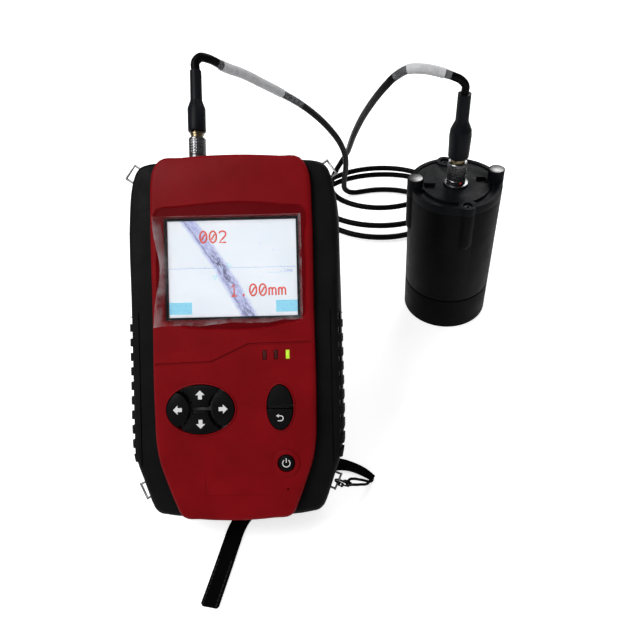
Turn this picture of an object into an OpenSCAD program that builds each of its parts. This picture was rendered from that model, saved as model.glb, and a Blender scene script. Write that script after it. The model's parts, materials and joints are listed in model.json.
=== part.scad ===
// Crack width gauge: a hand-held reader on its stand, a camera probe, their cable and a wrist strap.
// Millimetres, Z up. The origin is the middle of the probe's foot, on the surface that everything
// stands on.

/* [Reader body] */
// Length of the reader's case
reader_len = 198.7; // [190:0.5:210]
// Half the width of the case over the grips
reader_half_w = 57.3; // [54:0.1:60]
// Half the width of the red front cover
front_half_w = 43.7; // [42.5:0.1:45]
// Full thickness of the case
reader_t = 42; // [40:0.5:48]
// Height of the joint between the two covers above the back
split_z = 22; // [20:0.5:24]
// Wall of both covers
cover_wall = 2.5; // [2:0.1:3]
// Angle at which the reader leans back from the table
lean_deg = 45; // [40:1:50]
// How far the rubber grips lie below the red face
grip_drop = 5; // [3:0.5:7]
// How far the ribbed pads stand out from the grips
pad_out = 1.4; // [0.8:0.1:2]
// Pitch of the notches in the ribbed pads
rib_pitch = 8; // [7:0.5:9]
// Width of one notch
rib_gap = 3.6; // [2.5:0.1:4.5]

/* [Screen] */
// Width of the picture
screen_w = 70.08; // [66:0.01:72]
// Height of the picture
screen_h = 52.56; // [50:0.01:54]
// Height of the picture's middle above the middle of the case
screen_y = 37.65; // [35.5:0.05:39.5]
// Thickness of the clear window
window_t = 1.5; // [1:0.1:2]
// Depth of the shallow recess round the window
recess_d = 1.2; // [0.8:0.1:1.5]

/* [Keys] */
// Half width of the four direction keys together
pad_rx = 18.2; // [17:0.1:19]
// Half height of the four direction keys together
pad_ry = 13.1; // [12:0.1:14]
// Half width of the pair of keys on the right
pair_rx = 6.9; // [6:0.1:7.5]
// Half height of the pair of keys on the right
pair_ry = 12; // [11:0.1:13]
// Radius of the power key
power_r = 4.3; // [4:0.1:5]
// Travel of every key
key_travel = 1; // [0.6:0.1:1.2]
// Gap between two keys, and between a key and the cover
key_gap = 0.5; // [0.3:0.05:0.7]
// How far the keys stand out of the face
key_proud = 0.8; // [0.4:0.1:1.2]

/* [Stand] */
// Height of the stand's pin above the lower end of the case, along the back
stand_y = 100; // [96:1:104]
// Width of the stand plate
stand_w = 56; // [50:1:60]
// Thickness of the stand plate
stand_t = 3.5; // [3:0.1:4]
// Angle by which the open stand leans from square
stand_open_deg = 10; // [8:1:12]
// Radius of the stand's pin
stand_pin_r = 1.5; // [1.3:0.05:1.7]

/* [Probe] */
// Radius of the probe's body
probe_r = 32; // [30:0.5:34]
// Height of the probe's body
probe_h = 110; // [104:1:116]
// Height of the lower spacer that sets the camera's distance
spacer_h = 27; // [24:0.5:30]
// Wall of the probe's body
probe_wall = 3; // [2.5:0.1:4]
// Radius on which the lid's screws and posts sit
lobe_ring_r = 28.6; // [28:0.1:29]
// Radius of each lobe of the rim
lobe_r = 5.6; // [5:0.1:6]
// Radius of the view hole under the probe
view_r = 16; // [14:0.5:18]

/* [Cable] */
// Diameter of the cable
cable_d = 5; // [4.6:0.1:5.4]
// Diameter of the plug at the reader
reader_plug_d = 9.4; // [9:0.1:10]
// Diameter of the plug at the probe
probe_plug_d = 13; // [12:0.1:13.5]
// Travel of the plugs' sliding shells
plug_travel = 1.5; // [1:0.1:2]
// Rise of the coil for one turn
coil_rise = 5.6; // [5.5:0.1:6.5]

/* [Strap] */
// Width of the wrist strap
strap_w = 10; // [9:0.5:12]
// Thickness of the doubled webbing
strap_t = 1.8; // [1.4:0.1:2.4]

/* [Hidden] */

// Common values
over = 1; // overrun of every cut
fit = 0.15; // gap between fixed pieces
loose = 0.3; // gap between pieces of which one moves
pin_fit = 0.05; // radial gap round a turning pin
screw_fit = 0.02; // radial gap round a thread
thin_gap = 0.03; // under a piece that lies in its seat
fine = 64;
round_n = 32;

// Where the reader stands
reader_x = -136;
reader_y = -175;
edge_step = 1.2; // step of the bevelled edges
reader_rise = strap_t + loose - edge_step * cos(lean_deg);
face_z = reader_t;
recess_z = face_z - recess_d;
cavity_z = face_z - cover_wall - recess_d;
seal_t = 0.3;

// Outlines as shares of the half width and of the length, right half, from the lower end to the top
outer_shares = [[0, 0], [0.355, 0.003], [0.68, 0.011], [0.77, 0.0175], [0.81, 0.028], [0.835, 0.042],
    [0.88, 0.0775], [0.925, 0.116], [0.977, 0.1605], [0.995, 0.195], [1, 0.24], [1, 0.6], [0.993, 0.86],
    [0.975, 0.912], [0.948, 0.946], [0.916, 0.9665], [0.875, 0.9785], [0.835, 0.983], [0.675, 0.9895],
    [0.473, 0.9945], [0.24, 0.9985], [0, 1]];
front_shares = [[0, 0], [0.457, 0.005], [0.66, 0.0108], [0.69, 0.016], [0.757, 0.0453], [0.87, 0.1107],
    [0.945, 0.16], [0.985, 0.21], [1, 0.29], [1, 0.86], [0.99, 0.925], [0.972, 0.952], [0.935, 0.972],
    [0.869, 0.9885], [0.609, 0.9945], [0.31, 0.9985], [0, 1]];

function half_outline(shares, hw, inset) =
    [for (s = shares) [s[0] * (hw - inset), inset + s[1] * (reader_len - 2 * inset)]];
function mirrored(p) = concat(p, [for (i = [len(p) - 2:-1:1]) [-p[i][0], p[i][1]]]);
function outline(shares, hw, inset) = mirrored(half_outline(shares, hw, inset));
function oval(rx, ry, n) = [for (i = [0:n - 1]) [rx * cos(360 * i / n), ry * sin(360 * i / n)]];
function unit(v) = v / norm(v);

module in_reader() translate([reader_x, reader_y, reader_rise]) rotate([lean_deg, 0, 0]) children();
module slab(points, z0, z1) translate([0, 0, z0]) linear_extrude(z1 - z0) polygon(points);
module block(x0, x1, y0, y1, z0, z1) translate([x0, y0, z0]) cube([x1 - x0, y1 - y0, z1 - z0]);
module post(x, y, r, z0, z1) translate([x, y, z0]) cylinder(h = z1 - z0, r = r, $fn = round_n);
module ring(r_out, r_in, z0, z1) difference() {
    translate([0, 0, z0]) cylinder(h = z1 - z0, r = r_out, $fn = fine);
    translate([0, 0, z0 - over]) cylinder(h = z1 - z0 + 2 * over, r = r_in, $fn = fine);
}

// Places on the reader's face, as shares of the cover's half width and of the length
pad_shares = [-0.421, 0.307];
pair_shares = [0.5606, 0.308];
power_shares = [0.6224, 0.1555];
lamp_x_shares = [0.3844, 0.524, 0.6682];
lamp_y_share = 0.4509;
screw_y_shares = [0.2617, 0.916];
picture_y = reader_len / 2 + screen_y;
pad_x = pad_shares[0] * front_half_w;
pad_y = pad_shares[1] * reader_len;
pair_x = pair_shares[0] * front_half_w;
pair_y = pair_shares[1] * reader_len;
power_x = power_shares[0] * front_half_w;
power_y = power_shares[1] * reader_len;
lamp_xs = lamp_x_shares * front_half_w;
lamp_y = lamp_y_share * reader_len;
lamp_w = 2;
lamp_h = 4.8;
screw_ys = screw_y_shares * reader_len;
screw_r = 1.4;
screw_head_r = 2.7;
screw_head_h = 2;
boss_r = 3.4;
boss_in = 0.5; // from the cover's wall to its bosses
screw_x = front_half_w - cover_wall - boss_r - boss_in;
boss_top = face_z - cover_wall - recess_d;
bore_top = boss_top - 2 * fit;
window_w = screen_w + 3;
window_h = screen_h + 3;
window_z0 = recess_z - window_t;
board_z = 27;
board_t = 1.6;
board_side = 0.9; // from the bosses to the board
board_half_w = screw_x - boss_r - board_side;
lcd_t = 3.4;
lcd_z0 = cavity_z - lcd_t;
key_flange = 1.2;
flange_t = 1.4;
key_z0 = cavity_z - loose - flange_t;
key_top = face_z + key_proud;
mat_top = key_z0 - key_travel - fit;

// The step line moulded across the face, as shares of the cover's half width and of the length
step_shares = [[-1.1, 0.4335], [-0.28, 0.4375], [0.18, 0.4838], [1.1, 0.4868]];
step_w = 1.3;
step_d = 0.6;

// Recess round the screen, as shares of the half width and of the length
recess_shares = [[-0.905, 0.848], [-0.6, 0.858], [-0.2, 0.865], [0.06, 0.867], [0.35, 0.864], [0.65,
    0.857],
    [0.895, 0.85], [0.905, 0.76], [0.905, 0.62], [0.87, 0.552], [0.6, 0.535], [0.34, 0.5255], [0,
        0.5235],
    [-0.35, 0.527], [-0.6, 0.534], [-0.87, 0.552], [-0.905, 0.62], [-0.905, 0.76]];

module step_cut() {
    w = front_half_w;
    pts = [for (s = step_shares) [s[0] * w, s[1] * reader_len]];
    low = [for (i = [len(pts) - 1:-1:0]) [pts[i][0], pts[i][1] - step_w]];
    slab(concat(pts, low), face_z - step_d, face_z + over);
}

module key_holes() {
    translate([pad_x, pad_y, 0]) slab(oval(pad_rx + key_gap, pad_ry + key_gap, 48), split_z,
        face_z + 2 * over);
    translate([pair_x, pair_y, 0]) slab(oval(pair_rx + key_gap, pair_ry + key_gap, 40), split_z,
        face_z + 2 * over);
    post(power_x, power_y, power_r + key_gap, split_z, face_z + 2 * over);
}

rim_w = 1.4;
rim_h = 0.5;
power_rim_w = 3.1;
module key_rims() {
    translate([pad_x, pad_y, 0]) slab(oval(pad_rx + rim_w, pad_ry + rim_w, 48), face_z - step_d,
        face_z + rim_h);
    translate([pair_x, pair_y, 0]) slab(oval(pair_rx + rim_w, pair_ry + rim_w, 40), face_z - step_d,
        face_z + rim_h);
    post(power_x, power_y, power_r + power_rim_w, face_z - step_d, face_z + rim_h);
}

// The red front is a shell with a bevelled edge in two steps, open towards the back
module front_cover() color("firebrick") in_reader() {
    z0 = split_z + seal_t;
    difference() {
        union() {
            slab(outline(front_shares, front_half_w, 0), z0, face_z - 2 * edge_step);
            slab(outline(front_shares, front_half_w, 0.35 * edge_step), z0, face_z - edge_step);
            slab(outline(front_shares, front_half_w, edge_step), z0, face_z);
            key_rims();
        }
        difference() {
            slab(outline(front_shares, front_half_w, cover_wall), z0 - over, cavity_z);
            for (y = screw_ys, s = [-1, 1]) post(s * screw_x, y, boss_r, z0 - 2 * over, cavity_z + over);
        }
        slab([for (s = recess_shares) [s[0] * front_half_w, s[1] * reader_len]], recess_z,
            face_z + over);
        block(-window_w / 2 - fit, window_w / 2 + fit, picture_y - window_h / 2 - fit,
            picture_y + window_h / 2 + fit,
            window_z0, face_z + over);
        block(-screen_w / 2 - fit, screen_w / 2 + fit, picture_y - screen_h / 2 - fit,
            picture_y + screen_h / 2 + fit,
            cavity_z - over, face_z);
        step_cut();
        key_holes();
        for (x = lamp_xs)
            block(x - lamp_w / 2 - fit, x + lamp_w / 2 + fit, lamp_y - lamp_h / 2 - fit,
                lamp_y + lamp_h / 2 + fit,
                cavity_z - over, face_z + over);
        for (y = screw_ys, s = [-1, 1]) post(s * screw_x, y, screw_r + screw_fit, z0 - over, bore_top);
        translate([plug_x, reader_len - cover_wall - 2 * over, plug_z]) rotate([-90, 0, 0])
            cylinder(h = cover_wall + 3 * over, r = socket_r + fit, $fn = fine);
    }
}

// The back
recess_floor = 4.6;
stand_side = 0.4;
stand_recess_w = stand_w + 2 * stand_side;
hinge_z = 2.3;
barrel_r = 2.1;
recess_y1 = stand_y + barrel_r + loose;
pin_world_z = reader_rise + stand_y * sin(lean_deg) + hinge_z * cos(lean_deg);
foot_gap = 0.05;
stand_len = (pin_world_z - foot_gap - stand_t / 2 * sin(lean_deg - stand_open_deg))
    / cos(lean_deg - stand_open_deg);
finger_gap = 6;
recess_y0 = stand_y - stand_len - finger_gap;
door_w = 62;
thumb_in = 4; // from the door's lower edge to its thumb grooves
frame_t = 2.4;
frame_w = 7;
door_gap = 2.6; // from the stand's recess to the door's frame
door_end = 13.7; // from the case's end to the door
door_y0 = recess_y1 + cover_wall + frame_w / 2 + door_gap;
door_h = reader_len - door_end - door_y0;
door_t = 2.2;
door_ledge = 3;
door_screw_r = 1.2;
door_screw_head_r = 2.2;
door_screw_xs = [-24, 24];
door_screw_in = 5; // from the door's upper edge
door_screw_y = door_y0 + door_h - door_screw_in;
port_y = 120;
port_z = 11;
port_w = 9;
port_h = 3.4;
rear_half_w = reader_half_w;

module rear_cover() color([0.09, 0.09, 0.1]) in_reader() difference() {
    union() {
        difference() {
            union() {
                slab(outline(outer_shares, rear_half_w, edge_step), 0, split_z);
                slab(outline(outer_shares, rear_half_w, 0), edge_step, split_z);
            }
            slab(outline(outer_shares, rear_half_w, cover_wall), cover_wall, split_z + over);
        }
        block(-stand_recess_w / 2 - cover_wall, stand_recess_w / 2 + cover_wall, recess_y0 - cover_wall,
            recess_y1 + cover_wall, cover_wall / 2, recess_floor + cover_wall);
        block(-door_w / 2 - frame_w / 2, door_w / 2 + frame_w / 2, door_y0 - frame_w / 2,
            door_y0 + door_h + frame_w / 2,
            cover_wall / 2, cover_wall + frame_t);
        for (y = screw_ys, s = [-1, 1]) post(s * screw_x, y, boss_r, over, split_z);
    }
    block(-stand_recess_w / 2, stand_recess_w / 2, recess_y0, recess_y1, -over, recess_floor);
    block(-door_w / 2 - fit, door_w / 2 + fit, door_y0 - fit, door_y0 + door_h + fit, -over, cover_wall);
    block(-door_w / 2 + door_ledge, door_w / 2 - door_ledge, door_y0 + door_ledge,
        door_y0 + door_h - 3 * door_ledge,
        over, cover_wall + frame_t + over);
    for (x = door_screw_xs) post(x, door_screw_y, door_screw_r + screw_fit, cover_wall / 2,
        cover_wall + frame_t + over);
    for (y = screw_ys, s = [-1, 1]) {
        post(s * screw_x, y, screw_r + fit, -over, split_z + over);
        post(s * screw_x, y, screw_head_r + fit, -over, screw_head_h + over);
    }
    translate([-stand_recess_w / 2 - cover_wall / 2, stand_y, hinge_z]) rotate([0, 90, 0])
        cylinder(h = stand_recess_w + cover_wall, r = stand_pin_r + screw_fit, $fn = fine);
    block(rear_half_w - 2 * cover_wall, rear_half_w + over, port_y - port_w / 2, port_y + port_w / 2,
        port_z - port_h / 2, port_z + port_h / 2);
    for (i = [0:4]) translate([buzzer_x, buzzer_y + (i - 2) * slot_pitch, -over])
        cube([slot_len, slot_w, cover_wall + 2 * over]);
}

// Slots for the sounder in the back
buzzer_side = 20.3; // from the case's side to the slots
buzzer_x = reader_half_w - buzzer_side;
buzzer_y = 130;
slot_pitch = 2.6;
slot_w = 1.2;
slot_len = 9;
buzzer_r = 6;
buzzer_h = 4;

module cover_seal() color([0.15, 0.15, 0.15]) in_reader() difference() {
    slab(outline(front_shares, front_half_w, 0.3 * cover_wall), split_z, split_z + seal_t);
    slab(outline(front_shares, front_half_w, 0.9 * cover_wall), split_z - over, split_z + seal_t + over);
}

// Rubber grips beside the red cover, with a row of notched ribs
pad_y0 = 32;
pad_y1 = 112;
module grip_body() {
    z0 = split_z;
    z1 = face_z - grip_drop;
    difference() {
        union() {
            slab(outline(outer_shares, reader_half_w, 0), z0, z1 - 2 * edge_step);
            slab(outline(outer_shares, reader_half_w, edge_step), z0, z1);
            intersection() {
                slab(outline(outer_shares, reader_half_w + pad_out, 0), z0, z1 - edge_step);
                block(-2 * reader_half_w, 2 * reader_half_w, pad_y0, pad_y1, z0, z1);
            }
        }
        slab(outline(front_shares, front_half_w + fit, -over), z0 - over, z1 + over);
        for (y = [pad_y0 + rib_pitch / 2:rib_pitch:pad_y1 - rib_gap])
            for (s = [-1, 1]) translate([s * (reader_half_w + 2 * pad_out), y + rib_gap / 2, 0])
                block(-2.6 * pad_out, 2.6 * pad_out, -rib_gap / 2, rib_gap / 2, z0 - over, z1 + over);
    }
}
module half(side) intersection() {
    children();
    block(side > 0 ? 0 : -2 * reader_half_w, side > 0 ? 2 * reader_half_w : 0, -over, reader_len + over,
        -over, reader_t + over);
}
module grip(side) color([0.06, 0.06, 0.06]) in_reader() difference() {
    half(side) grip_body();
    wire_bars(bar_r + screw_fit);
}
module grip_right() grip(1);
module grip_left() grip(-1);

// Screen
module lcd_window() color([0.85, 0.9, 0.95, 0.6]) in_reader()
    block(-window_w / 2, window_w / 2, picture_y - window_h / 2, picture_y + window_h / 2,
        window_z0, recess_z);
lcd_side = 2.75; // from the cover's wall to the display
lcd_frame = 11.34; // height of the display over its picture's
lcd_w = 2 * (front_half_w - cover_wall - lcd_side);
lcd_h = screen_h + lcd_frame;
module lcd_module() color([0.2, 0.2, 0.22]) in_reader()
    block(-lcd_w / 2, lcd_w / 2, picture_y - lcd_h / 2, picture_y + lcd_h / 2, lcd_z0,
        lcd_z0 + lcd_t - loose);
film_t = 0.12;
film_shares = [-0.86, 0.84, 0.515]; // sides over the cover's half width, half height over the picture's
module screen_film() color([0.8, 0.85, 0.9, 0.3]) in_reader()
    block(film_shares[0] * front_half_w, film_shares[1] * front_half_w,
        picture_y - film_shares[2] * screen_h, picture_y + film_shares[2] * screen_h,
        recess_z + thin_gap, recess_z + thin_gap + film_t);

// Electronics
mat_in = 6.9; // how far the mat reaches past the keys
mat_y0 = power_y - mat_in;
mat_y1 = pair_y + pair_ry + mat_in;
board_in = 4; // from the key mat to the board's lower end
board_end = 22.7; // from the case's end to the board's upper end
board_y0 = mat_y0 - board_in;
board_y1 = reader_len - board_end;
module main_board() color("darkgreen") in_reader()
    block(-board_half_w, board_half_w, board_y0, board_y1, board_z, board_z + board_t);
module key_mat() color([0.75, 0.75, 0.75]) in_reader() {
    z0 = board_z + board_t;
    block(-board_half_w + fit, board_half_w - fit, mat_y0, mat_y1, z0, z0 + mat_t);
    for (p = key_places) post(p[0], p[1], dome_r, z0 + mat_t / 2, mat_top);
}
mat_t = 1.4;
dome_r = 2;
key_places = [[pad_x, pad_y + 0.6 * pad_ry], [pad_x, pad_y - 0.6 * pad_ry], [pad_x - 0.55 * pad_rx,
    pad_y],
    [pad_x + 0.55 * pad_rx, pad_y], [pair_x, pair_y + pair_ry / 2], [pair_x, pair_y - pair_ry / 2],
    [power_x, power_y]];

battery_w = 52;
battery_t = 12;
battery_in = 1; // from the door's ledge to the pack
battery_end = 3; // from the pack to the ledge under the door's screws
battery_h = door_h - 4 * door_ledge - battery_in - battery_end;
module battery_pack() color([0.2, 0.3, 0.6]) in_reader() {
    y0 = door_y0 + door_ledge + battery_in;
    block(-battery_w / 2, battery_w / 2, y0, y0 + battery_h, door_t + fit, door_t + fit + battery_t);
}
module battery_door() color([0.1, 0.1, 0.1]) in_reader() difference() {
    block(-door_w / 2, door_w / 2, door_y0, door_y0 + door_h, 0, door_t);
    for (x = door_screw_xs) {
        post(x, door_screw_y, door_screw_r + fit, -over, door_t + over);
        post(x, door_screw_y, door_screw_head_r + fit, -over, door_t / 2);
    }
    for (i = [0:4]) let (y = door_y0 + thumb_in + i * slot_pitch)
        block(-door_w / 8, door_w / 8, y, y + slot_w, -over, door_t / 4);
}
module cross(x, y, r, z0, z1) for (a = [0, 90]) translate([x, y, z0]) rotate([0, 0, a])
    translate([-r, -r / 5, 0]) cube([2 * r, 2 * r / 5, z1 - z0]);
module door_screws() color("silver") in_reader() for (x = door_screw_xs) difference() {
    union() {
        post(x, door_screw_y, door_screw_head_r, fit, door_t / 2 - fit / 2);
        post(x, door_screw_y, door_screw_r, door_t / 3, cover_wall + frame_t);
    }
    cross(x, door_screw_y, door_screw_head_r / 2, -over, door_t / 4);
}
module case_screws() color("silver") in_reader() for (y = screw_ys, s = [-1, 1]) difference() {
    union() {
        post(s * screw_x, y, screw_head_r, fit, screw_head_h + fit);
        post(s * screw_x, y, screw_r, fit + screw_head_h / 2, bore_top - over);
    }
    cross(s * screw_x, y, screw_head_r / 2, -over, screw_head_h / 2);
}
module buzzer() color([0.1, 0.1, 0.1]) in_reader()
    post(buzzer_x + slot_len / 2, buzzer_y, buzzer_r, cover_wall + fit, cover_wall + fit + buzzer_h);
module light_pipes() color([0.8, 0.85, 0.3]) in_reader() for (x = lamp_xs)
    block(x - lamp_w / 2, x + lamp_w / 2, lamp_y - lamp_h / 2, lamp_y + lamp_h / 2,
        board_z + board_t, face_z - fit);
module charge_port() color("silver") in_reader() difference() {
    x0 = rear_half_w - 2.6 * cover_wall;
    block(x0, rear_half_w - fit, port_y - port_w / 2 + fit, port_y + port_w / 2 - fit,
        port_z - port_h / 2 + fit, port_z + port_h / 2 - fit);
    block(x0 + over, rear_half_w + over, port_y - port_w / 2 + 3 * fit, port_y + port_w / 2 - 3 * fit,
        port_z - port_h / 2 + 3 * fit, port_z + port_h / 2 - 3 * fit);
}

// Keys: each has a cap that comes through the cover and a flange under it
web = 2.2; // gap between the direction keys
side_r = 9.9; // radius of the inner edge of the left and right keys
side_in = 6.2; // distance of that edge from the pad's middle
module pad_sector(kind) {
    side = side_r + side_in;
    if (kind == "left" || kind == "right") intersection() {
        polygon(oval(pad_rx, pad_ry, 48));
        translate([kind == "right" ? side : -side, 0]) circle(r = side_r, $fn = fine);
    }
    else difference() {
        polygon(oval(pad_rx, pad_ry, 48));
        for (t = [-1, 1]) translate([t * side, 0]) circle(r = side_r + web, $fn = fine);
        translate([-pad_rx, kind == "up" ? web / 2 - 2 * pad_ry : -web / 2]) square([2 * pad_rx,
            2 * pad_ry]);
    }
}
module pad_key(kind) color([0.1, 0.1, 0.11]) in_reader() translate([pad_x, pad_y, 0]) {
    translate([0, 0, key_z0]) linear_extrude(key_top - key_z0) pad_sector(kind);
    s = kind == "up" ? [0, 1] : kind == "down" ? [0, -1] : kind == "left" ? [-1, 0] : [1, 0];
    half_x = s[0] == 0 ? pad_rx * 0.3 : key_flange;
    half_y = s[1] == 0 ? pad_ry * 0.3 : key_flange;
    translate([s[0] * pad_rx - half_x, s[1] * pad_ry - half_y, key_z0])
        cube([2 * half_x, 2 * half_y, flange_t]);
}
module key_up() pad_key("up");
module key_down() pad_key("down");
module key_left() pad_key("left");
module key_right() pad_key("right");
module pair_key(s) color([0.1, 0.1, 0.11]) in_reader() translate([pair_x, pair_y, 0]) {
    translate([0, 0, key_z0]) linear_extrude(key_top - key_z0) difference() {
        polygon(oval(pair_rx, pair_ry, 40));
        translate([-2 * pair_rx, s > 0 ? -2 * pair_ry + web / 2 : -web / 2]) square([4 * pair_rx,
            2 * pair_ry]);
    }
    translate([-key_flange, s * pair_ry - key_flange, key_z0]) cube([2 * key_flange, 2 * key_flange,
        flange_t]);
}
module key_enter() pair_key(1);
module key_back() pair_key(-1);
module key_power() color([0.05, 0.05, 0.05]) in_reader() {
    post(power_x, power_y, power_r, key_z0, key_top - key_proud / 2);
    post(power_x, power_y, power_r + key_flange, key_z0, key_z0 + flange_t);
}

// Bent wire bars across the four corners, with their legs in the rubber
bar_r = 0.6;
bar_span = 8.8;
bar_z = 30;
bar_leg = 4;
// Top left, top right, bottom left, bottom right: place as shares of the half width and of the length
bar_shares = [[-0.9215, 0.9547], [0.9145, 0.9643], [-0.8848, 0.0805], [0.9005, 0.0926]];
bar_top_turn = 34;
bar_low_turn = 24;
bar_turns = [180 - bar_top_turn, bar_top_turn, 180 + bar_low_turn, -bar_low_turn];
bar_reaches = [6, 3, 4, 3];
clasp_bar = 3;
bar_places = [for (s = bar_shares) [s[0] * reader_half_w, s[1] * reader_len, bar_z]];
module wire_bar(r, reach) {
    for (s = [-1, 1]) translate([-bar_leg, s * bar_span / 2, 0]) rotate([0, 90, 0])
        cylinder(h = bar_leg + reach, r = r, $fn = round_n);
    translate([reach, -bar_span / 2 - r, 0]) rotate([-90, 0, 0])
        cylinder(h = bar_span + 2 * r, r = r, $fn = round_n);
}
module wire_bars(r) for (i = [0:len(bar_places) - 1]) translate(bar_places[i])
    rotate([0, 0, bar_turns[i]]) wire_bar(r, bar_reaches[i]);
module lanyard_bars() color("gainsboro") in_reader() wire_bars(bar_r);

// Fold-out stand, drawn open: it turns about its pin and its foot meets the table
module at_pin() in_reader() translate([0, stand_y, hinge_z]) children();
module stand() color([0.1, 0.1, 0.11]) at_pin() rotate([90 - stand_open_deg, 0, 0]) difference() {
    r = stand_w / 6;
    union() {
        translate([0, 0, -stand_t / 2]) linear_extrude(stand_t) polygon(concat(
            [[stand_w / 2, 0], [-stand_w / 2, 0]],
            [for (a = [180:15:270]) [r - stand_w / 2 + r * cos(a), r - stand_len + r * sin(a)]],
            [for (a = [270:15:360]) [stand_w / 2 - r + r * cos(a), r - stand_len + r * sin(a)]]));
        translate([-stand_w / 2, 0, 0]) rotate([0, 90, 0]) cylinder(h = stand_w, r = barrel_r,
            $fn = fine);
    }
    translate([-stand_w / 2 - over, 0, 0]) rotate([0, 90, 0])
        cylinder(h = stand_w + 2 * over, r = stand_pin_r + pin_fit, $fn = fine);
}
module stand_pin() color("silver") at_pin() translate([-(stand_recess_w + cover_wall) / 2 + fit, 0, 0])
    rotate([0, 90, 0]) cylinder(h = stand_recess_w + cover_wall - 2 * fit, r = stand_pin_r, $fn = fine);

// Push-pull plugs: every length runs along the plug from the face of its socket
plug_x = -20;
plug_z = 30;
socket_r = 5.2;
socket_l = 9;
shoulder_r = 6.6;
shoulder_t = 1.6;
shoulder_gap = 1.6; // the shoulder lies behind the cover's wall
socket_in = 0.5; // the socket's face lies below the case's end
seat_gap = 0.2; // from the socket's face to the plug's collar
reader_socket_y = reader_len - socket_in;
nose_share = 0.72; // nose of a plug as a share of its radius
nose_l = 7.5;
reader_collar_l = 2.6;
reader_shell_l = 10;
neck_l = 3.4;
neck_share = 0.83;
reader_boot_l = 34.3;
boot_end_r = 3.25;
reader_boot_r = 4.9;
probe_collar_l = 2.8;
probe_shell_l = 12.4;
probe_boot_l = 43;
probe_boot_r = 7.3;
probe_boot_end_r = 4.3;
reader_boot_z = seat_gap + reader_collar_l + reader_shell_l + neck_l;
probe_boot_z = seat_gap + probe_collar_l + probe_shell_l + neck_l;
slide_gap = 0.1; // ends of a sliding shell
slot_share = 0.62; // depth to which the boot's slots reach, as a share of its radius
boot_chamfer = 0.4;
boot_belly = 0.4;
reader_boot_share = 0.38; // thick part of a boot over its length
probe_boot_share = 0.45;
boot_taper_share = 0.14; // length of the boot's taper over the boot's length
boot_slot_from = 0.66; // place of the first slot over the boot's length
boot_slot_step = 0.11; // from slot to slot
boot_slot_share = 0.045; // length of a slot

module at_reader_plug() in_reader() translate([plug_x, reader_socket_y, plug_z]) rotate([-90, 0,
    0]) children();
module at_probe_plug() translate([0, 0, probe_socket_z]) children();
module plug_core(d, collar_l, shell_l) {
    z1 = seat_gap + collar_l;
    z2 = z1 + shell_l;
    rotate_extrude($fn = fine) polygon([[0, -nose_l], [nose_share * d / 2, -nose_l],
        [nose_share * d / 2, seat_gap],
        [d / 2, seat_gap], [d / 2, z1], [nose_share * d / 2, z1], [nose_share * d / 2, z2],
        [nose_share * d / 2, z2 + neck_l], [0, z2 + neck_l]]);
}
knurl_n = 6;
knurl_d = 0.35;
module plug_shell(d, collar_l, shell_l) {
    z1 = seat_gap + collar_l + slide_gap;
    l = shell_l - 2 * slide_gap;
    step = l / (knurl_n + 1);
    rotate_extrude($fn = fine) polygon(concat([[nose_share * d / 2 + pin_fit, z1], [d / 2, z1]],
        [for (i = [1:knurl_n], k = [0:3]) [d / 2 - (k == 1 || k == 2 ? knurl_d : 0),
            z1 + i * step + [-0.6, -0.25, 0.25, 0.6][k] * knurl_d * 2]],
        [[d / 2, z1 + l], [nose_share * d / 2 + pin_fit, z1 + l]]));
}
module boot(r0, r1, z0, l, straight_share, belly) difference() {
    z1 = z0 + straight_share * l;
    rotate_extrude($fn = fine) polygon([[0, z0], [r0 - boot_chamfer, z0], [r0, z0 + 1.5 * boot_chamfer],
        [r0 + belly, z0 + 0.8 * straight_share * l], [r0, z1], [r1, z1 + boot_taper_share * l],
        [r1 - boot_chamfer / 4, z0 + l], [0, z0 + l]]);
    for (i = [0:2], s = [-1, 1])
        translate([s > 0 ? slot_share * r1 : -2 * r0, -r1 / 4,
            z0 + l * (boot_slot_from + boot_slot_step * i + (s > 0 ? 0 : boot_slot_share))])
        cube([2 * r0 - slot_share * r1, r1 / 2, l * boot_slot_share]);
}
module reader_plug_core() color([0.72, 0.6, 0.35]) at_reader_plug()
    plug_core(reader_plug_d, reader_collar_l, reader_shell_l);
module reader_plug() color("silver") at_reader_plug() plug_shell(reader_plug_d, reader_collar_l,
    reader_shell_l);
module reader_boot() color([0.08, 0.08, 0.08]) at_reader_plug()
    boot(reader_boot_r, boot_end_r, reader_boot_z, reader_boot_l, reader_boot_share, 0);
module probe_plug_core() color([0.72, 0.6, 0.35]) at_probe_plug()
    plug_core(probe_plug_d, probe_collar_l, probe_shell_l);
module probe_plug() color("silver") at_probe_plug() plug_shell(probe_plug_d, probe_collar_l,
    probe_shell_l);
module probe_boot() color([0.08, 0.08, 0.08]) at_probe_plug()
    boot(probe_boot_r - boot_belly, probe_boot_end_r, probe_boot_z, probe_boot_l, probe_boot_share,
        boot_belly);

module socket(d, body_r, l, flange_r, flange_z0, flange_z1) difference() {
    union() {
        translate([0, 0, -l]) cylinder(h = l, r = body_r, $fn = fine);
        translate([0, 0, flange_z0]) cylinder(h = flange_z1 - flange_z0, r = flange_r, $fn = fine);
    }
    translate([0, 0, -nose_l - fit]) cylinder(h = nose_l + 2 * over,
        r = nose_share * d / 2 + pin_fit, $fn = fine);
}
module reader_socket() color("silver") at_reader_plug()
    socket(reader_plug_d, socket_r, socket_l, shoulder_r, -cover_wall - shoulder_gap - shoulder_t,
        -cover_wall - shoulder_gap);

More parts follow.
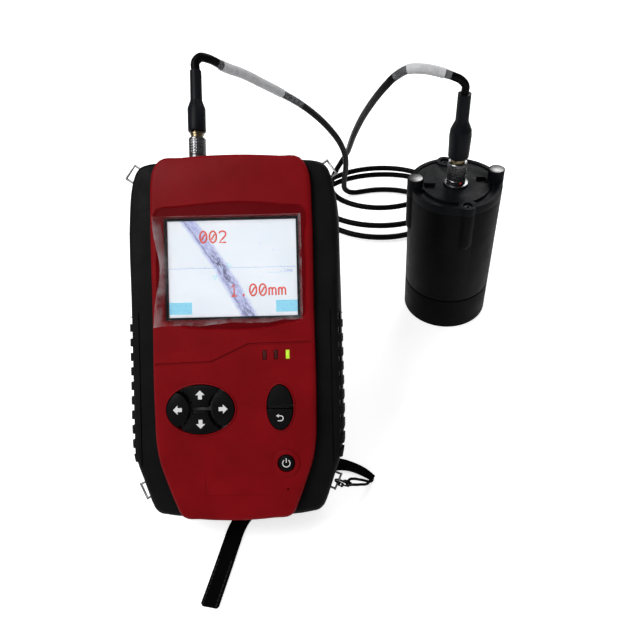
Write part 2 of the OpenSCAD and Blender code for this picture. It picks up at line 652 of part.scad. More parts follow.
// Probe
lobe_turn = 9;
lid_t = 6;
lid_z = probe_h - lid_t;
lid_top_z = probe_h - 1;
trough_z = probe_h - 2.8;
trough_r0 = 23.5;
rim_r = probe_r - 2.6;
trough_r1 = rim_r - 1;
island_r = lobe_r + 0.5; // what stays round each screw and post
boss_l = 24;
post_h = 6.5;
post_r = 5.5;
cap_t = 1;
cap_proud = 0.25;
cap_rim = 0.5; // rim of a post round its cap
pocket_z = trough_z - 0.6;
pocket = [[13.5, -2.5], [21.5, -4.6], [22.5, 3.6], [16.5, 5]];
joint_gap = 0.6;
joint_groove = 0.8;
lid_screw_r = 1.5;
lid_head_r = 2.7;
lid_head_h = 2.4;
well_r = 3.2;
well_z = lid_z + 2;
probe_socket_z = lid_top_z + 1.6;
probe_flange_r = 8.4;
probe_body_r = 6.1;
probe_body_l = 14;
nut_r = 8;
nut_h = 3;
shell_z0 = spacer_h + joint_gap;
inner_r = probe_r - probe_wall;
board_shelf_z = 58;
shelf_t = 3;
shelf_r = 24;
lobe_angles = [for (i = [0:3]) lobe_turn + 90 * i];
module at_lobes(which) for (i = which) rotate([0, 0, lobe_angles[i]]) translate([lobe_ring_r, 0,
    0]) children();

module probe_shell() color([0.1, 0.1, 0.1]) difference() {
    union() {
        translate([0, 0, shell_z0]) cylinder(h = lid_z - fit - shell_z0, r = probe_r, $fn = fine);
        at_lobes([0, 1, 2, 3]) {
            translate([0, 0, lid_z - boss_l]) cylinder(h = boss_l - 2 * fit, r = lobe_r, $fn = round_n);
            translate([0, 0, lid_z - boss_l]) sphere(r = lobe_r, $fn = round_n);
        }
    }
    difference() {
        translate([0, 0, shell_z0 - over]) cylinder(h = lid_z - shell_z0 + 2 * over, r = inner_r,
            $fn = fine);
        at_lobes([0, 1, 2, 3]) translate([0, 0, lid_z - boss_l / 2]) cylinder(h = boss_l, r = lobe_r,
            $fn = round_n);
        translate([0, 0, board_shelf_z - shelf_t]) ring(inner_r + over, shelf_r, 0, shelf_t);
    }
    at_lobes([1, 3]) translate([0, 0, lid_z - boss_l / 3]) cylinder(h = boss_l,
        r = lid_screw_r + screw_fit, $fn = round_n);
}
module probe_lid() color([0.12, 0.12, 0.13]) difference() {
    union() {
        translate([0, 0, lid_z]) cylinder(h = lid_t, r = probe_r, $fn = fine);
        at_lobes([0, 1, 2, 3]) translate([0, 0, lid_z]) cylinder(h = lid_t, r = lobe_r, $fn = round_n);
        at_lobes([0, 2]) translate([0, 0, lid_z]) cylinder(h = lid_t + post_h, r = post_r,
            $fn = round_n);
    }
    difference() {
        translate([0, 0, lid_top_z]) cylinder(h = lid_t, r = rim_r, $fn = fine);
        at_lobes([0, 1, 2, 3]) translate([0, 0, lid_z]) cylinder(h = 2 * lid_t + post_h, r = island_r,
            $fn = round_n);
    }
    rotate([0, 0, lobe_turn]) difference() {
        ring(trough_r1, trough_r0, trough_z, probe_h + over);
        translate([-2 * probe_r, -probe_r / 10, 0]) cube([4 * probe_r, 2 * probe_r, 2 * probe_h]);
        for (a = [0, 180, 270]) rotate([0, 0, a]) translate([lobe_ring_r, 0, 0])
            cylinder(h = 2 * probe_h, r = island_r, $fn = round_n);
    }
    rotate([0, 0, lobe_turn]) for (a = [0, 180]) rotate([0, 0, a]) translate([0, 0, pocket_z])
        linear_extrude(lid_t) polygon(pocket);
    at_lobes([1, 3]) {
        translate([0, 0, well_z]) cylinder(h = 2 * lid_t, r = well_r, $fn = round_n);
        translate([0, 0, lid_z - over]) cylinder(h = lid_t, r = lid_screw_r + fit, $fn = round_n);
    }
    at_lobes([0, 2]) translate([0, 0, probe_h + post_h - cap_t]) cylinder(h = lid_t,
        r = post_r - cap_rim, $fn = round_n);
    translate([0, 0, lid_z - over]) cylinder(h = 2 * lid_t, r = probe_body_r + fit, $fn = fine);
}
module lid_screws() color("dimgray") at_lobes([1, 3]) difference() {
    union() {
        translate([0, 0, well_z + fit]) cylinder(h = lid_head_h, r = lid_head_r, $fn = round_n);
        translate([0, 0, lid_z - boss_l / 3 + over]) cylinder(h = boss_l / 3 + 2, r = lid_screw_r,
            $fn = round_n);
    }
    cross(0, 0, lid_head_r / 2, well_z + lid_head_h / 2, probe_h);
}
module post_caps() color("silver") at_lobes([0, 2])
    translate([0, 0, probe_h + post_h - cap_t + thin_gap]) cylinder(h = cap_t + cap_proud,
        r = post_r - cap_rim - fit, $fn = round_n);
module probe_socket() color("silver") at_probe_plug()
    socket(probe_plug_d, probe_body_r, probe_body_l, probe_flange_r,
        lid_top_z + thin_gap - probe_socket_z, 0);
module socket_nut() color("silver") difference() {
    translate([0, 0, lid_z - fit - nut_h]) cylinder(h = nut_h, r = nut_r, $fn = 6);
    translate([0, 0, lid_z - fit - nut_h - over]) cylinder(h = nut_h + 2 * over,
        r = probe_body_r + screw_fit, $fn = fine);
}

// Inside the probe: camera board on its shelf, lens barrel under it, ring of lamps over the foot
camera_board_t = 1.6;
barrel_l = 24;
lens_r = 8;
lamp_shelf_z = 20;
lamp_board_t = 1.4;
lamp_n = 8;
lamp_ring_r = 19;
lamp_size = 2.6;
lamp_board_in = 13;
lamp_ledge = 2;
barrel_wall = 2;
spacer_bore = probe_r - probe_wall - 0.6;
spigot_l = 4;
glass_t = 1.5;
glass_lip = 1.7;
foot_t = 1.2;
foot_r0 = 21;
foot_r1 = 29;
sole_z = 0; // the rubber ring lies flush in the sole
sole_t = 4;
module camera_board() color("darkgreen")
    translate([0, 0, board_shelf_z + fit]) cylinder(h = camera_board_t, r = inner_r - 2 * loose,
        $fn = fine);
module lens_barrel() color([0.08, 0.08, 0.08]) translate([0, 0, board_shelf_z - barrel_l]) difference() {
    cylinder(h = barrel_l + fit, r = lens_r, $fn = fine);
    translate([0, 0, -over]) cylinder(h = barrel_l / 3, r = lens_r - barrel_wall, $fn = fine);
}
module lamp_ring() color("white") ring(spacer_bore - loose, lamp_board_in, lamp_shelf_z + fit,
    lamp_shelf_z + fit + lamp_board_t);
module lamps() color("lightyellow") for (i = [0:lamp_n - 1]) rotate([0, 0, 360 * i / lamp_n])
    translate([lamp_ring_r - lamp_size / 2, -lamp_size / 2, lamp_shelf_z + fit - lamp_size / 2])
    cube([lamp_size, lamp_size, lamp_size / 2]);
module probe_spacer() color([0.1, 0.1, 0.1]) difference() {
    union() {
        translate([0, 0, sole_z]) cylinder(h = spacer_h - joint_groove - sole_z, r = probe_r,
            $fn = fine);
        translate([0, 0, sole_z]) cylinder(h = shell_z0 - fit - sole_z, r = probe_r - joint_groove,
            $fn = fine);
        translate([0, 0, sole_z]) cylinder(h = shell_z0 + spigot_l - sole_z, r = inner_r - fit,
            $fn = fine);
    }
    difference() {
        translate([0, 0, sole_z + sole_t]) cylinder(h = spacer_h + 2 * spigot_l, r = spacer_bore,
            $fn = fine);
        ring(spacer_bore + over, spacer_bore - lamp_ledge, lamp_shelf_z - lamp_ledge, lamp_shelf_z);
    }
    translate([0, 0, -over]) cylinder(h = spacer_h, r = view_r, $fn = fine);
    translate([0, 0, sole_z + sole_t - glass_t]) cylinder(h = spacer_h, r = view_r + glass_lip + fit,
        $fn = fine);
    ring(foot_r1 + fit, foot_r0 - fit, -over, foot_t);
}
module foot_glass() color([0.85, 0.9, 0.95, 0.6]) translate([0, 0, sole_z + sole_t - glass_t + thin_gap])
    cylinder(h = glass_t, r = view_r + glass_lip, $fn = fine);
module foot_ring() color([0.2, 0.2, 0.2]) ring(foot_r1, foot_r0, 0, foot_t - thin_gap);

// Cable: hand-chosen points of the two leads, and a loose coil whose half turns differ a little
function to_world(p) = [reader_x + p[0], reader_y + p[1] * cos(lean_deg) - p[2] * sin(lean_deg),
    reader_rise + p[1] * sin(lean_deg) + p[2] * cos(lean_deg)];
up_case = [0, cos(lean_deg), sin(lean_deg)];
reader_exit = to_world([plug_x, reader_socket_y + reader_boot_z + reader_boot_l, plug_z]);
probe_exit = [0, 0, probe_socket_z + probe_boot_z + probe_boot_l];
reader_route = [[-153.6, -14.4, 203.4], [-149.5, -11.9, 201.6], [-146.5, -8.6, 198.3], [-144.5, -5.4, 195.2],
    [-135, 10.5, 183], [-127, 22.5, 171.5], [-117.5, 36.5, 159.5], [-107, 52, 144],
    [-97, 68.5, 126.5], [-89, 83.5, 107.5], [-82, 99, 88], [-78.5, 113, 68.5], [-79, 125.5, 50],
    [-80.5, 137, 34], [-82, 145, 20.5], [-81.5, 150.5, 10], [-77.5, 154, 4.2]];
probe_route = [[-3, -0.5, 181], [-8, -2, 184], [-10.5, -2.6, 185.2], [-14, -3, 186.5], [-26.5, -2, 189],
    [-35, 1.5, 187.5], [-42, 6, 182], [-48.5, 13, 172], [-53.5, 25, 160], [-58.5, 40, 146],
    [-63, 58, 130], [-67, 78, 112], [-71, 98, 94], [-73.5, 118, 76.5], [-76, 137, 61],
    [-77.5, 152, 49.5], [-80, 162, 40], [-84.5, 165.5, 31], [-89.5, 163.5, 23.5]];
coil_steps = 24;
coil_n = 68;
coil_x = -48;
coil_oval_share = 1.3;
coil_start_deg = 110;
coil_rs = [41, 41, 50, 46, 47, 36, 36];
coil_ys = [118, 118, 128, 133, 134, 143, 143];
function ease(s) = s * s * (3 - 2 * s);
function along(list, t) = let (k = min(floor(t),
    len(list) - 2)) list[k] + (list[k + 1] - list[k]) * ease(t - k);
function coil_point(i) = let (t = 2 * i / coil_steps, r = along(coil_rs, t),
    a = coil_start_deg - 360 * i / coil_steps)
    [coil_x + coil_oval_share * r * cos(a), along(coil_ys, t) + r * sin(a),
        cable_d / 2 + foot_gap + coil_rise * i / coil_steps];
coil_in = unit(coil_point(1) - coil_point(0));
coil_out = unit(coil_point(coil_n) - coil_point(coil_n - 1));
coil_first = coil_point(0) - cable_d * coil_in;
coil_last = coil_point(coil_n) + cable_d * coil_out;
coil_path = concat([coil_first], [for (i = [0:coil_n]) coil_point(i)], [coil_last]);
reader_path = concat([reader_exit, reader_exit + cable_d * up_case], reader_route, [coil_first]);
probe_path = concat([probe_exit, probe_exit + [0, 0, cable_d]], probe_route, [coil_last]);
coil_skip = coil_steps / 3;
coil_gap = min([for (i = [0:len(coil_path) - 1], j = [i + coil_skip:len(coil_path) - 1])
    norm(coil_path[i] - coil_path[j])]) - cable_d;
echo(coil_least_gap = coil_gap);

// A tube of flat rings along a path, square to first and last at its ends
function tangents(p, first, last) = [for (i = [0:len(p) - 1]) i == 0 ? first : i == len(p) - 1 ? last
    : unit(p[i + 1] - p[i - 1])];
function carried(n, t) = unit(n - (n * t) * t);
function normals(t, ref) = [for (i = 0, n = carried(ref, t[0]); i < len(t); i = i + 1,
    n = carried(n, t[min(i, len(t) - 1)])) n];
function rings(p, t, n, r, sides) = [for (i = [0:len(p) - 1], k = [0:sides - 1])
    p[i] + r * (cos(360 * k / sides) * n[i] + sin(360 * k / sides) * cross(t[i], n[i]))];
function skin(from, count, sides, flip) = [for (i = [0:count - 2], k = [0:sides - 1], h = [0, 1])
    let (a = from + i * sides + k, b = from + i * sides + (k + 1) % sides, c = a + sides, d = b + sides)
    h == 0 ? (flip ? [a, b, c] : [a, c, b]) : (flip ? [b, d, c] : [b, c, d])];
function fan(from, sides, flip) = [for (k = [1:sides - 2]) flip ? [from, from + k + 1, from + k]
    : [from, from + k, from + k + 1]];
module cord(p, first, last, r, sides, ref) {
    t = tangents(p, first, last);
    polyhedron(points = rings(p, t, normals(t, ref), r, sides),
        faces = concat(skin(0, len(p), sides, false), fan(0, sides, false), fan((len(p) - 1) * sides,
            sides, true)));
}
// A hollow tube that follows points i0 to i1 of a path
module sleeve(path, first, last, i0, i1, r_out, r_in, sides, ref) {
    t = tangents(path, first, last);
    n = normals(t, ref);
    p = [for (i = [i0:i1]) path[i]];
    tt = [for (i = [i0:i1]) t[i]];
    nn = [for (i = [i0:i1]) n[i]];
    count = len(p);
    far = (count - 1) * sides;
    all = count * sides;
    polyhedron(points = concat(rings(p, tt, nn, r_out, sides), rings(p, tt, nn, r_in, sides)),
        faces = concat(skin(0, count, sides, false), skin(all, count, sides, true),
            [for (k = [0:sides - 1], h = [0, 1]) let (a = k, b = (k + 1) % sides)
                h == 0 ? [a, b, all + a] : [b, all + b, all + a]],
            [for (k = [0:sides - 1], h = [0, 1]) let (a = far + k, b = far + (k + 1) % sides)
                h == 0 ? [b, a, all + a] : [b, all + a, all + b]]));
}
cord_sides = 8;
coil_sides = 6;
cable_r = cable_d / 2;
side_ref = [1, 0, 0];
up_ref = [0, 0, 1];
down = [0, 0, -1];
module cable_reader_lead() color([0.07, 0.07, 0.07]) cord(reader_path, up_case, coil_in, cable_r,
    cord_sides, side_ref);
module cable_probe_lead() color([0.07, 0.07, 0.07]) cord(probe_path, -down, -coil_out, cable_r,
    cord_sides, side_ref);
module cable_coil() color([0.07, 0.07, 0.07]) cord(coil_path, coil_in, coil_out, cable_r, coil_sides,
    up_ref);
sleeve_fit = 0.06;
sleeve_wall = 0.4;
shrink_wall = 0.2;
sleeve_r = cable_r + sleeve_fit + sleeve_wall;
shrink_r = sleeve_r + sleeve_fit + shrink_wall;
reader_sleeve_at = [5, 8];
probe_sleeve_at = [5, 7];
module sleeve_reader() color("white") sleeve(reader_path, up_case, coil_in, reader_sleeve_at[0],
    reader_sleeve_at[1],
    sleeve_r, cable_r + sleeve_fit, cord_sides, side_ref);
module sleeve_probe() color("white") sleeve(probe_path, -down, -coil_out, probe_sleeve_at[0],
    probe_sleeve_at[1],
    sleeve_r, cable_r + sleeve_fit, cord_sides, side_ref);
module shrink_reader() color([0.8, 0.8, 0.8, 0.4]) sleeve(reader_path, up_case, coil_in,
    reader_sleeve_at[0] - 1,
    reader_sleeve_at[1] + 1, shrink_r, sleeve_r + sleeve_fit, cord_sides, side_ref);
module shrink_probe() color([0.8, 0.8, 0.8, 0.4]) sleeve(probe_path, -down, -coil_out,
    probe_sleeve_at[0] - 1,
    probe_sleeve_at[1] + 1, shrink_r, sleeve_r + sleeve_fit, cord_sides, side_ref);

// Wrist strap: doubled webbing flat on the table, a thin cord loop from its tip, and a clasp on the
// lower right bar
strap_route = [[-62, -162.9], [-67.6, -158.6], [-76, -154.3], [-84.5, -152.5], [-92.5, -154],
    [-99.5, -160], [-106, -167.5], [-115, -173], [-125, -176.2], [-133.5, -180.5], [-139.5, -186.5],
    [-142.7, -193.5], [-144.8, -203], [-147, -214.5], [-149.5, -227], [-151.5, -236.9], [-151.7, -237.9]];
// Width at each point of the route, as a share of the webbing's width
strap_shares = [0.4, 0.55, 0.65, 0.85, 1, 1, 1, 1, 1, 1, 1, 1, 1, 1, 1, 1, 0.8];
function route_side(i) = let (a = strap_route[max(0, i - 1)],
    b = strap_route[min(len(strap_route) - 1, i + 1)],
    t = (b - a) / norm(b - a)) [t[1], -t[0]];
function strap_edge(s) = [for (i = [0:len(strap_route) - 1]) strap_route[i]
    + s * strap_shares[i] * strap_w / 2 * route_side(i)];
module strap_webbing() color([0.05, 0.05, 0.05]) {
    right = strap_edge(1);
    left = strap_edge(-1);
    slab(concat(right, [for (i = [len(left) - 1:-1:0]) left[i]]), 0, strap_t);
}
clasp_r = 4;
clasp_wire_r = 0.6;
clasp_drop = 2.2; // from the bar to the middle of the hook
eye_r = 2.2;
eye_turn = -60;
gate_from = 20;
gate_to = 85; // turn of the gate's hinge
hook_to = 111; // turn of the hook's end behind the hinge
gate_r = 0.5;
gate_pin_r = 0.35;
knuckle_r = 0.75;
knuckle_h = 1.2;
cheek_gap = 0.1;
cheek_t = 0.4;
cheek_r = 0.7;
cheek_z = knuckle_h / 2 + cheek_gap + cheek_t;
gate_a = clasp_r * [cos(gate_from), sin(gate_from)];
gate_b = clasp_r * [cos(gate_to), sin(gate_to)];
gate_dir = (gate_a - gate_b) / norm(gate_a - gate_b);
gate_len = norm(gate_a - gate_b);
gate_turn = atan2(gate_dir[1], gate_dir[0]);
gate_rod_from = (knuckle_r + gate_pin_r) / 2;
hook_end = clasp_r * [cos(hook_to), sin(hook_to)];
arm_turn = atan2(hook_end[1] - gate_b[1], hook_end[0] - gate_b[0]);
module at_clasp() in_reader() translate(bar_places[clasp_bar]) rotate([0, 0, bar_turns[clasp_bar]])
    translate([bar_reaches[clasp_bar] + clasp_drop, 0, 0]) rotate([90, 0, 0]) children();
module at_hinge() at_clasp() translate([gate_b[0], gate_b[1], 0]) children();
module upright(r, z) translate([0, 0, -z]) cylinder(h = 2 * z, r = r, $fn = round_n);
module clasp_hook() color([0.1, 0.1, 0.1]) {
    at_clasp() {
        rotate([0, 0, hook_to]) rotate_extrude(angle = 360 - (hook_to - gate_from), $fn = fine)
            translate([clasp_r, 0]) circle(r = clasp_wire_r, $fn = round_n);
        rotate([0, 0, eye_turn]) translate([clasp_r + eye_r + clasp_wire_r / 2, 0, 0])
            rotate_extrude($fn = fine) translate([eye_r, 0]) circle(r = clasp_wire_r, $fn = round_n);
        translate([hook_end[0], hook_end[1], 0]) upright(cheek_r, cheek_z);
    }
    at_hinge() {
        upright(gate_pin_r, cheek_z);
        for (z = [-cheek_z, cheek_z - cheek_t]) {
            translate([0, 0, z]) cylinder(h = cheek_t, r = cheek_r, $fn = round_n);
            rotate([0, 0, arm_turn]) translate([0, -clasp_wire_r, z])
                cube([norm(hook_end - gate_b), 2 * clasp_wire_r, cheek_t]);
        }
    }
}
module clasp_gate() color("dimgray") at_hinge() {
    difference() {
        upright(knuckle_r, knuckle_h / 2);
        upright(gate_pin_r + pin_fit, knuckle_h);
    }
    rotate([0, 0, gate_turn]) translate([gate_rod_from, 0, 0]) rotate([0, 90, 0])
        cylinder(h = gate_len - gate_rod_from - clasp_wire_r - loose, r = gate_r, $fn = round_n);
}
strap_cord_d = 1.6;
strap_cord_route = [[-63.3, -163.3, 1], [-64.6, -166.9, 2.8], [-70.2, -173.6, 12.2], [-75.5, -180.4, 24],
    [-76.6, -181.8, 26.1], [-77.05, -182.3, 27.9], [-76.7, -181.65, 29.06], [-76, -180.6, 29.6],
    [-75, -179.3, 28.6], [-73.9, -177.9, 26.4], [-69, -171.6, 14.1], [-62.6, -166.2, 3.6],
    [-61.9, -161.9, 1]];
module strap_cord() color([0.06, 0.06, 0.06]) {
    n = len(strap_cord_route) - 1;
    cord(strap_cord_route, unit(strap_cord_route[1] - strap_cord_route[0]),
        unit(strap_cord_route[n] - strap_cord_route[n - 1]), strap_cord_d / 2, cord_sides, up_ref);
}

front_cover();
rear_cover();
cover_seal();
grip_left();
grip_right();
lcd_window();
lcd_module();
screen_film();
main_board();
key_mat();
battery_pack();
battery_door();
case_screws();
door_screws();
buzzer();
light_pipes();
charge_port();
reader_socket();
socket_nut();
key_up();
key_down();
key_left();
key_right();
key_enter();
key_back();
key_power();
lanyard_bars();
stand();
stand_pin();
probe_shell();
probe_spacer();
probe_lid();
lid_screws();
post_caps();
probe_socket();
camera_board();
lens_barrel();
lamp_ring();
lamps();
foot_glass();
foot_ring();
reader_plug_core();
reader_plug();
reader_boot();
probe_plug_core();
probe_plug();
probe_boot();
cable_reader_lead();
cable_coil();
cable_probe_lead();
sleeve_reader();
sleeve_probe();
shrink_reader();
shrink_probe();
strap_webbing();
strap_cord();
clasp_hook();
clasp_gate();
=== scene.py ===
import json
import random
from math import atan2, cos, exp, hypot, pi, radians, sin

import bpy
from mathutils import Matrix, Vector


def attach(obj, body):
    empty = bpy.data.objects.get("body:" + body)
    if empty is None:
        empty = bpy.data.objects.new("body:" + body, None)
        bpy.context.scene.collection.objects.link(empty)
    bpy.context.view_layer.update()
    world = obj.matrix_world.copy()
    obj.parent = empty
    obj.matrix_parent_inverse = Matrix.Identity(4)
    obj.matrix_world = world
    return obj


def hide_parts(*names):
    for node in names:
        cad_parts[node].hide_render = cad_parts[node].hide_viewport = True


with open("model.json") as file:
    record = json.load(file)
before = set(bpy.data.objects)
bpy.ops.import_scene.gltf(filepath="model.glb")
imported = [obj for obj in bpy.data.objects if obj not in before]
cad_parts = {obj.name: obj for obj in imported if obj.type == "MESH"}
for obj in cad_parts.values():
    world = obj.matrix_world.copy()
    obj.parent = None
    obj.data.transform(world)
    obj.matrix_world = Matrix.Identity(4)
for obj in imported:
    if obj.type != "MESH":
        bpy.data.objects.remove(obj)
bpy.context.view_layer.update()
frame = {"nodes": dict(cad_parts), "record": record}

mm = 0.001
cadNodes = frame["nodes"]
print("frame loaded:", len(cadNodes), "CAD nodes")

# where things stand
reader = {
    "x": -136, "y": -175, "lean": 45, "strapThickness": 1.8, "gapUnder": 0.3, "edgeStep": 1.2,
    "length": 198.7, "halfWidth": 57.3, "frontHalfWidth": 43.7, "thickness": 42, "split": 22,
}
leanSin = sin(radians(reader["lean"]))
leanCos = cos(radians(reader["lean"]))
readerRise = reader["strapThickness"] + reader["gapUnder"] - reader["edgeStep"] * leanCos
readerPlace = (Matrix.Translation((reader["x"] * mm, reader["y"] * mm, readerRise * mm))
               @ Matrix.Rotation(radians(reader["lean"]), 4, "X"))  # reader's own axes, still in metres
upCase = Vector((0, leanCos, leanSin))


def readerPoint(x, y, z):
    return readerPlace @ Vector((x * mm, y * mm, z * mm))


# small modelling helpers
def deselect():
    bpy.ops.object.select_all(action="DESELECT")


def activate(obj):
    deselect()
    obj.hide_set(False)
    obj.select_set(True)
    bpy.context.view_layer.objects.active = obj


def newObject(name, data):
    obj = bpy.data.objects.new(name, data)
    bpy.context.scene.collection.objects.link(obj)
    return obj


def editMode(obj, select="SELECT", kind="VERT"):
    activate(obj)
    bpy.ops.object.mode_set(mode="EDIT")
    bpy.ops.mesh.select_mode(type=kind)
    bpy.ops.mesh.select_all(action=select)


def objectMode():
    bpy.ops.object.mode_set(mode="OBJECT")


def applyModifier(obj, kind, **settings):
    modifier = obj.modifiers.new("step", kind)
    for key, value in settings.items():
        setattr(modifier, key, value)
    activate(obj)
    bpy.ops.object.modifier_apply(modifier=modifier.name)


def applyPlace(obj):
    activate(obj)
    bpy.ops.object.transform_apply(location=True, rotation=True, scale=True)


def placeAt(obj, place):
    obj.matrix_world = place
    applyPlace(obj)


def placeInReader(obj):
    placeAt(obj, readerPlace @ obj.matrix_world)


def recalcNormals(obj):
    editMode(obj)
    bpy.ops.mesh.normals_make_consistent(inside=False)
    objectMode()


def slabFrom(points, low, high, grow=1.0):
    # closed outline in mm, raised from low to high; grow widens the upper rim about its middle
    bpy.ops.mesh.primitive_circle_add(vertices=len(points), radius=0.01, fill_type="NGON")
    obj = bpy.context.active_object
    for vertex, point in zip(obj.data.vertices, points):
        vertex.co = (point[0] * mm, point[1] * mm, low * mm)
    editMode(obj)
    bpy.ops.mesh.extrude_region_move(TRANSFORM_OT_translate={"value": (0, 0, (high - low) * mm)})
    if grow != 1.0:
        objectMode()
        midX = sum(p[0] for p in points) / len(points) * mm
        midY = sum(p[1] for p in points) / len(points) * mm
        for vertex in obj.data.vertices:
            if vertex.co.z > (low + high) / 2 * mm:
                vertex.co.x = midX + (vertex.co.x - midX) * grow
                vertex.co.y = midY + (vertex.co.y - midY) * grow
        editMode(obj)
    bpy.ops.mesh.normals_make_consistent(inside=False)
    objectMode()
    return obj


def rectangle(x0, x1, y0, y1):
    return [(x0, y0), (x1, y0), (x1, y1), (x0, y1)]


def boxFrom(x0, x1, y0, y1, low, high):
    return slabFrom(rectangle(x0, x1, y0, y1), low, high)


def boxAt(x, y, halfX, halfY, low, high):
    return boxFrom(x - halfX, x + halfX, y - halfY, y + halfY, low, high)


def slopeAt(before, here, after):
    # direction of a curve at one of its points, weighted by how near its neighbours are
    back = max((here - before).length, 1e-9)
    ahead = max((after - here).length, 1e-9)
    return ((here - before) / back * ahead + (after - here) / ahead * back) / (back + ahead)


def curveBetween(start, end, startSlope, endSlope, steps):
    span = (end - start).length
    points = []
    for step in range(steps):
        t = step / steps
        points.append(start * (2 * t ** 3 - 3 * t * t + 1) + startSlope * span * (t ** 3 - 2 * t * t + t)
                      + end * (3 * t * t - 2 * t ** 3) + endSlope * span * (t ** 3 - t * t))
    return points


def smoothLoop(points, steps):
    # rounds a closed outline through its points
    points = [Vector(point) for point in points]
    count = len(points)
    slopes = [slopeAt(points[i - 1], points[i], points[(i + 1) % count]) for i in range(count)]
    loop = []
    for i in range(count):
        j = (i + 1) % count
        loop += curveBetween(points[i], points[j], slopes[i], slopes[j], steps)
    return [tuple(point) for point in loop]


def ovalLoop(cx, cy, rx, ry, count=64):
    return [(cx + rx * cos(2 * pi * i / count), cy + ry * sin(2 * pi * i / count))
            for i in range(count)]


def bevelTop(obj, top, width, segments=3):
    # rounds the edges of a flat top at that height
    editMode(obj, "DESELECT", "EDGE")
    objectMode()
    verts = obj.data.vertices
    for edge in obj.data.edges:
        edge.select = all(verts[i].co.z > (top - 0.01) * mm for i in edge.vertices)
    bpy.ops.object.mode_set(mode="EDIT")
    bpy.ops.mesh.bevel(offset=width * mm, segments=segments, profile=0.5, affect="EDGES")
    objectMode()


def combine(obj, tool, operation="DIFFERENCE"):
    applyModifier(obj, "BOOLEAN", operation=operation, object=tool, solver="EXACT")
    bpy.data.objects.remove(tool)
    return obj


def joinAll(parts):
    deselect()
    for part in parts:
        part.select_set(True)
    bpy.context.view_layer.objects.active = parts[0]
    bpy.ops.object.join()
    return parts[0]


def smoothShade(obj, angle=35):
    activate(obj)
    bpy.ops.object.shade_smooth_by_angle(angle=radians(angle))


def softenedCopy(nodeName, newName, width=0.3, segments=2, angle=32):
    # a CAD solid's shape again, with its doubles merged and its edges rounded
    obj = newObject(newName, cadNodes[nodeName].data.copy())
    editMode(obj)
    bpy.ops.mesh.remove_doubles(threshold=0.00001)
    bpy.ops.mesh.dissolve_limited(angle_limit=radians(0.6))
    objectMode()
    if width:
        applyModifier(obj, "BEVEL", width=width * mm, segments=segments, limit_method="ANGLE",
                      angle_limit=radians(angle))
    smoothShade(obj, angle)
    return obj


def finishPiece(obj, name, material, nodes=(), body="root"):
    obj.name = name
    if material:
        obj.data.materials.clear()
        obj.data.materials.append(material)
    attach(obj, body)
    if nodes:
        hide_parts(*nodes)
    return obj


def mapCorners(obj, placeOf):
    # gives each corner the place on the map that its vertex has
    layers = obj.data.uv_layers
    corners = (layers[0] if layers else layers.new(name="map")).data
    for loop in obj.data.loops:
        corners[loop.index].uv = placeOf(loop.vertex_index)


def turned(profile, sides):
    # spins a profile of (radius, height) points in mm round +Z
    mesh = bpy.data.meshes.new("profile")
    points = [(r * mm, 0, z * mm) for r, z in profile]
    mesh.from_pydata(points, [(i, i + 1) for i in range(len(points) - 1)], [])
    obj = newObject("turned", mesh)
    editMode(obj)
    bpy.ops.mesh.spin(steps=sides, angle=2 * pi, center=(0, 0, 0), axis=(0, 0, 1))
    bpy.ops.mesh.select_all(action="SELECT")
    bpy.ops.mesh.remove_doubles(threshold=0.000005)
    bpy.ops.mesh.normals_make_consistent(inside=False)
    objectMode()
    return obj


# materials
def newMaterial(name):
    material = bpy.data.materials.new(name)
    material.use_nodes = True
    return material, material.node_tree, material.node_tree.nodes["Principled BSDF"]


def feed(node, inputs):
    # each value is a number, a colour or another node's output
    for key, value in inputs.items():
        if isinstance(value, bpy.types.NodeSocket):
            node.id_data.links.new(value, node.inputs[key])
        else:
            node.inputs[key].default_value = value
    return node


def addNode(tree, kind, inputs, **settings):
    node = tree.nodes.new("ShaderNode" + kind)
    for key, value in settings.items():
        setattr(node, key, value)
    return feed(node, inputs)


def noiseNode(tree, scale, detail=3, roughness=0.55, space="Object"):
    place = addNode(tree, "TexCoord", {}).outputs[space]
    settings = {"Vector": place, "Scale": scale, "Detail": detail, "Roughness": roughness}
    return addNode(tree, "TexNoise", settings).outputs["Fac"]


def rangeNode(tree, *values):
    # values: source, from low, from high, to low, to high
    return addNode(tree, "MapRange", dict(enumerate(values))).outputs[0]


def mathNode(tree, operation, *values):
    return addNode(tree, "Math", dict(enumerate(values)), operation=operation).outputs[0]


def colourRamp(tree, source, *stops):
    ramp = addNode(tree, "ValToRGB", {"Fac": source})
    for element, (place, colour) in zip(ramp.color_ramp.elements, stops):
        element.position = place
        element.color = (*colour, 1)
    return ramp.outputs["Color"]


def addBump(tree, shader, height, strength, distance):
    bump = addNode(tree, "Bump", {"Height": height, "Strength": strength, "Distance": distance})
    feed(shader, {"Normal": bump.outputs["Normal"]})


def mouldedFinish(name, dark, light, roughness, grain, bump, wear=0.06, shine=0.15):
    # moulded plastic or rubber: slow colour drift, fine spark-eroded grain, handled patches that shine more
    material, tree, shader = newMaterial(name)
    patches = noiseNode(tree, 120, 5, 0.7)
    feed(shader, {
        "Base Color": colourRamp(tree, noiseNode(tree, 45, 4), (0.3, dark), (0.72, light)),
        "Roughness": rangeNode(tree, patches, 0.3, 0.7, roughness - wear, roughness + wear),
        "Specular IOR Level": shine,
    })
    addBump(tree, shader, noiseNode(tree, grain, 2, 0.5), bump, 0.00012)
    return material


def metalFinish(name, dark, light, roughness):
    material, tree, shader = newMaterial(name)
    lines = noiseNode(tree, 1500, 2, 0.5)
    feed(shader, {
        "Metallic": 1.0,
        "Base Color": colourRamp(tree, noiseNode(tree, 160, 4, 0.6), (0.3, dark), (0.7, light)),
        "Roughness": rangeNode(tree, lines, 0.3, 0.7, roughness - 0.07, roughness + 0.09),
    })
    addBump(tree, shader, lines, 0.25, 0.00004)
    return material


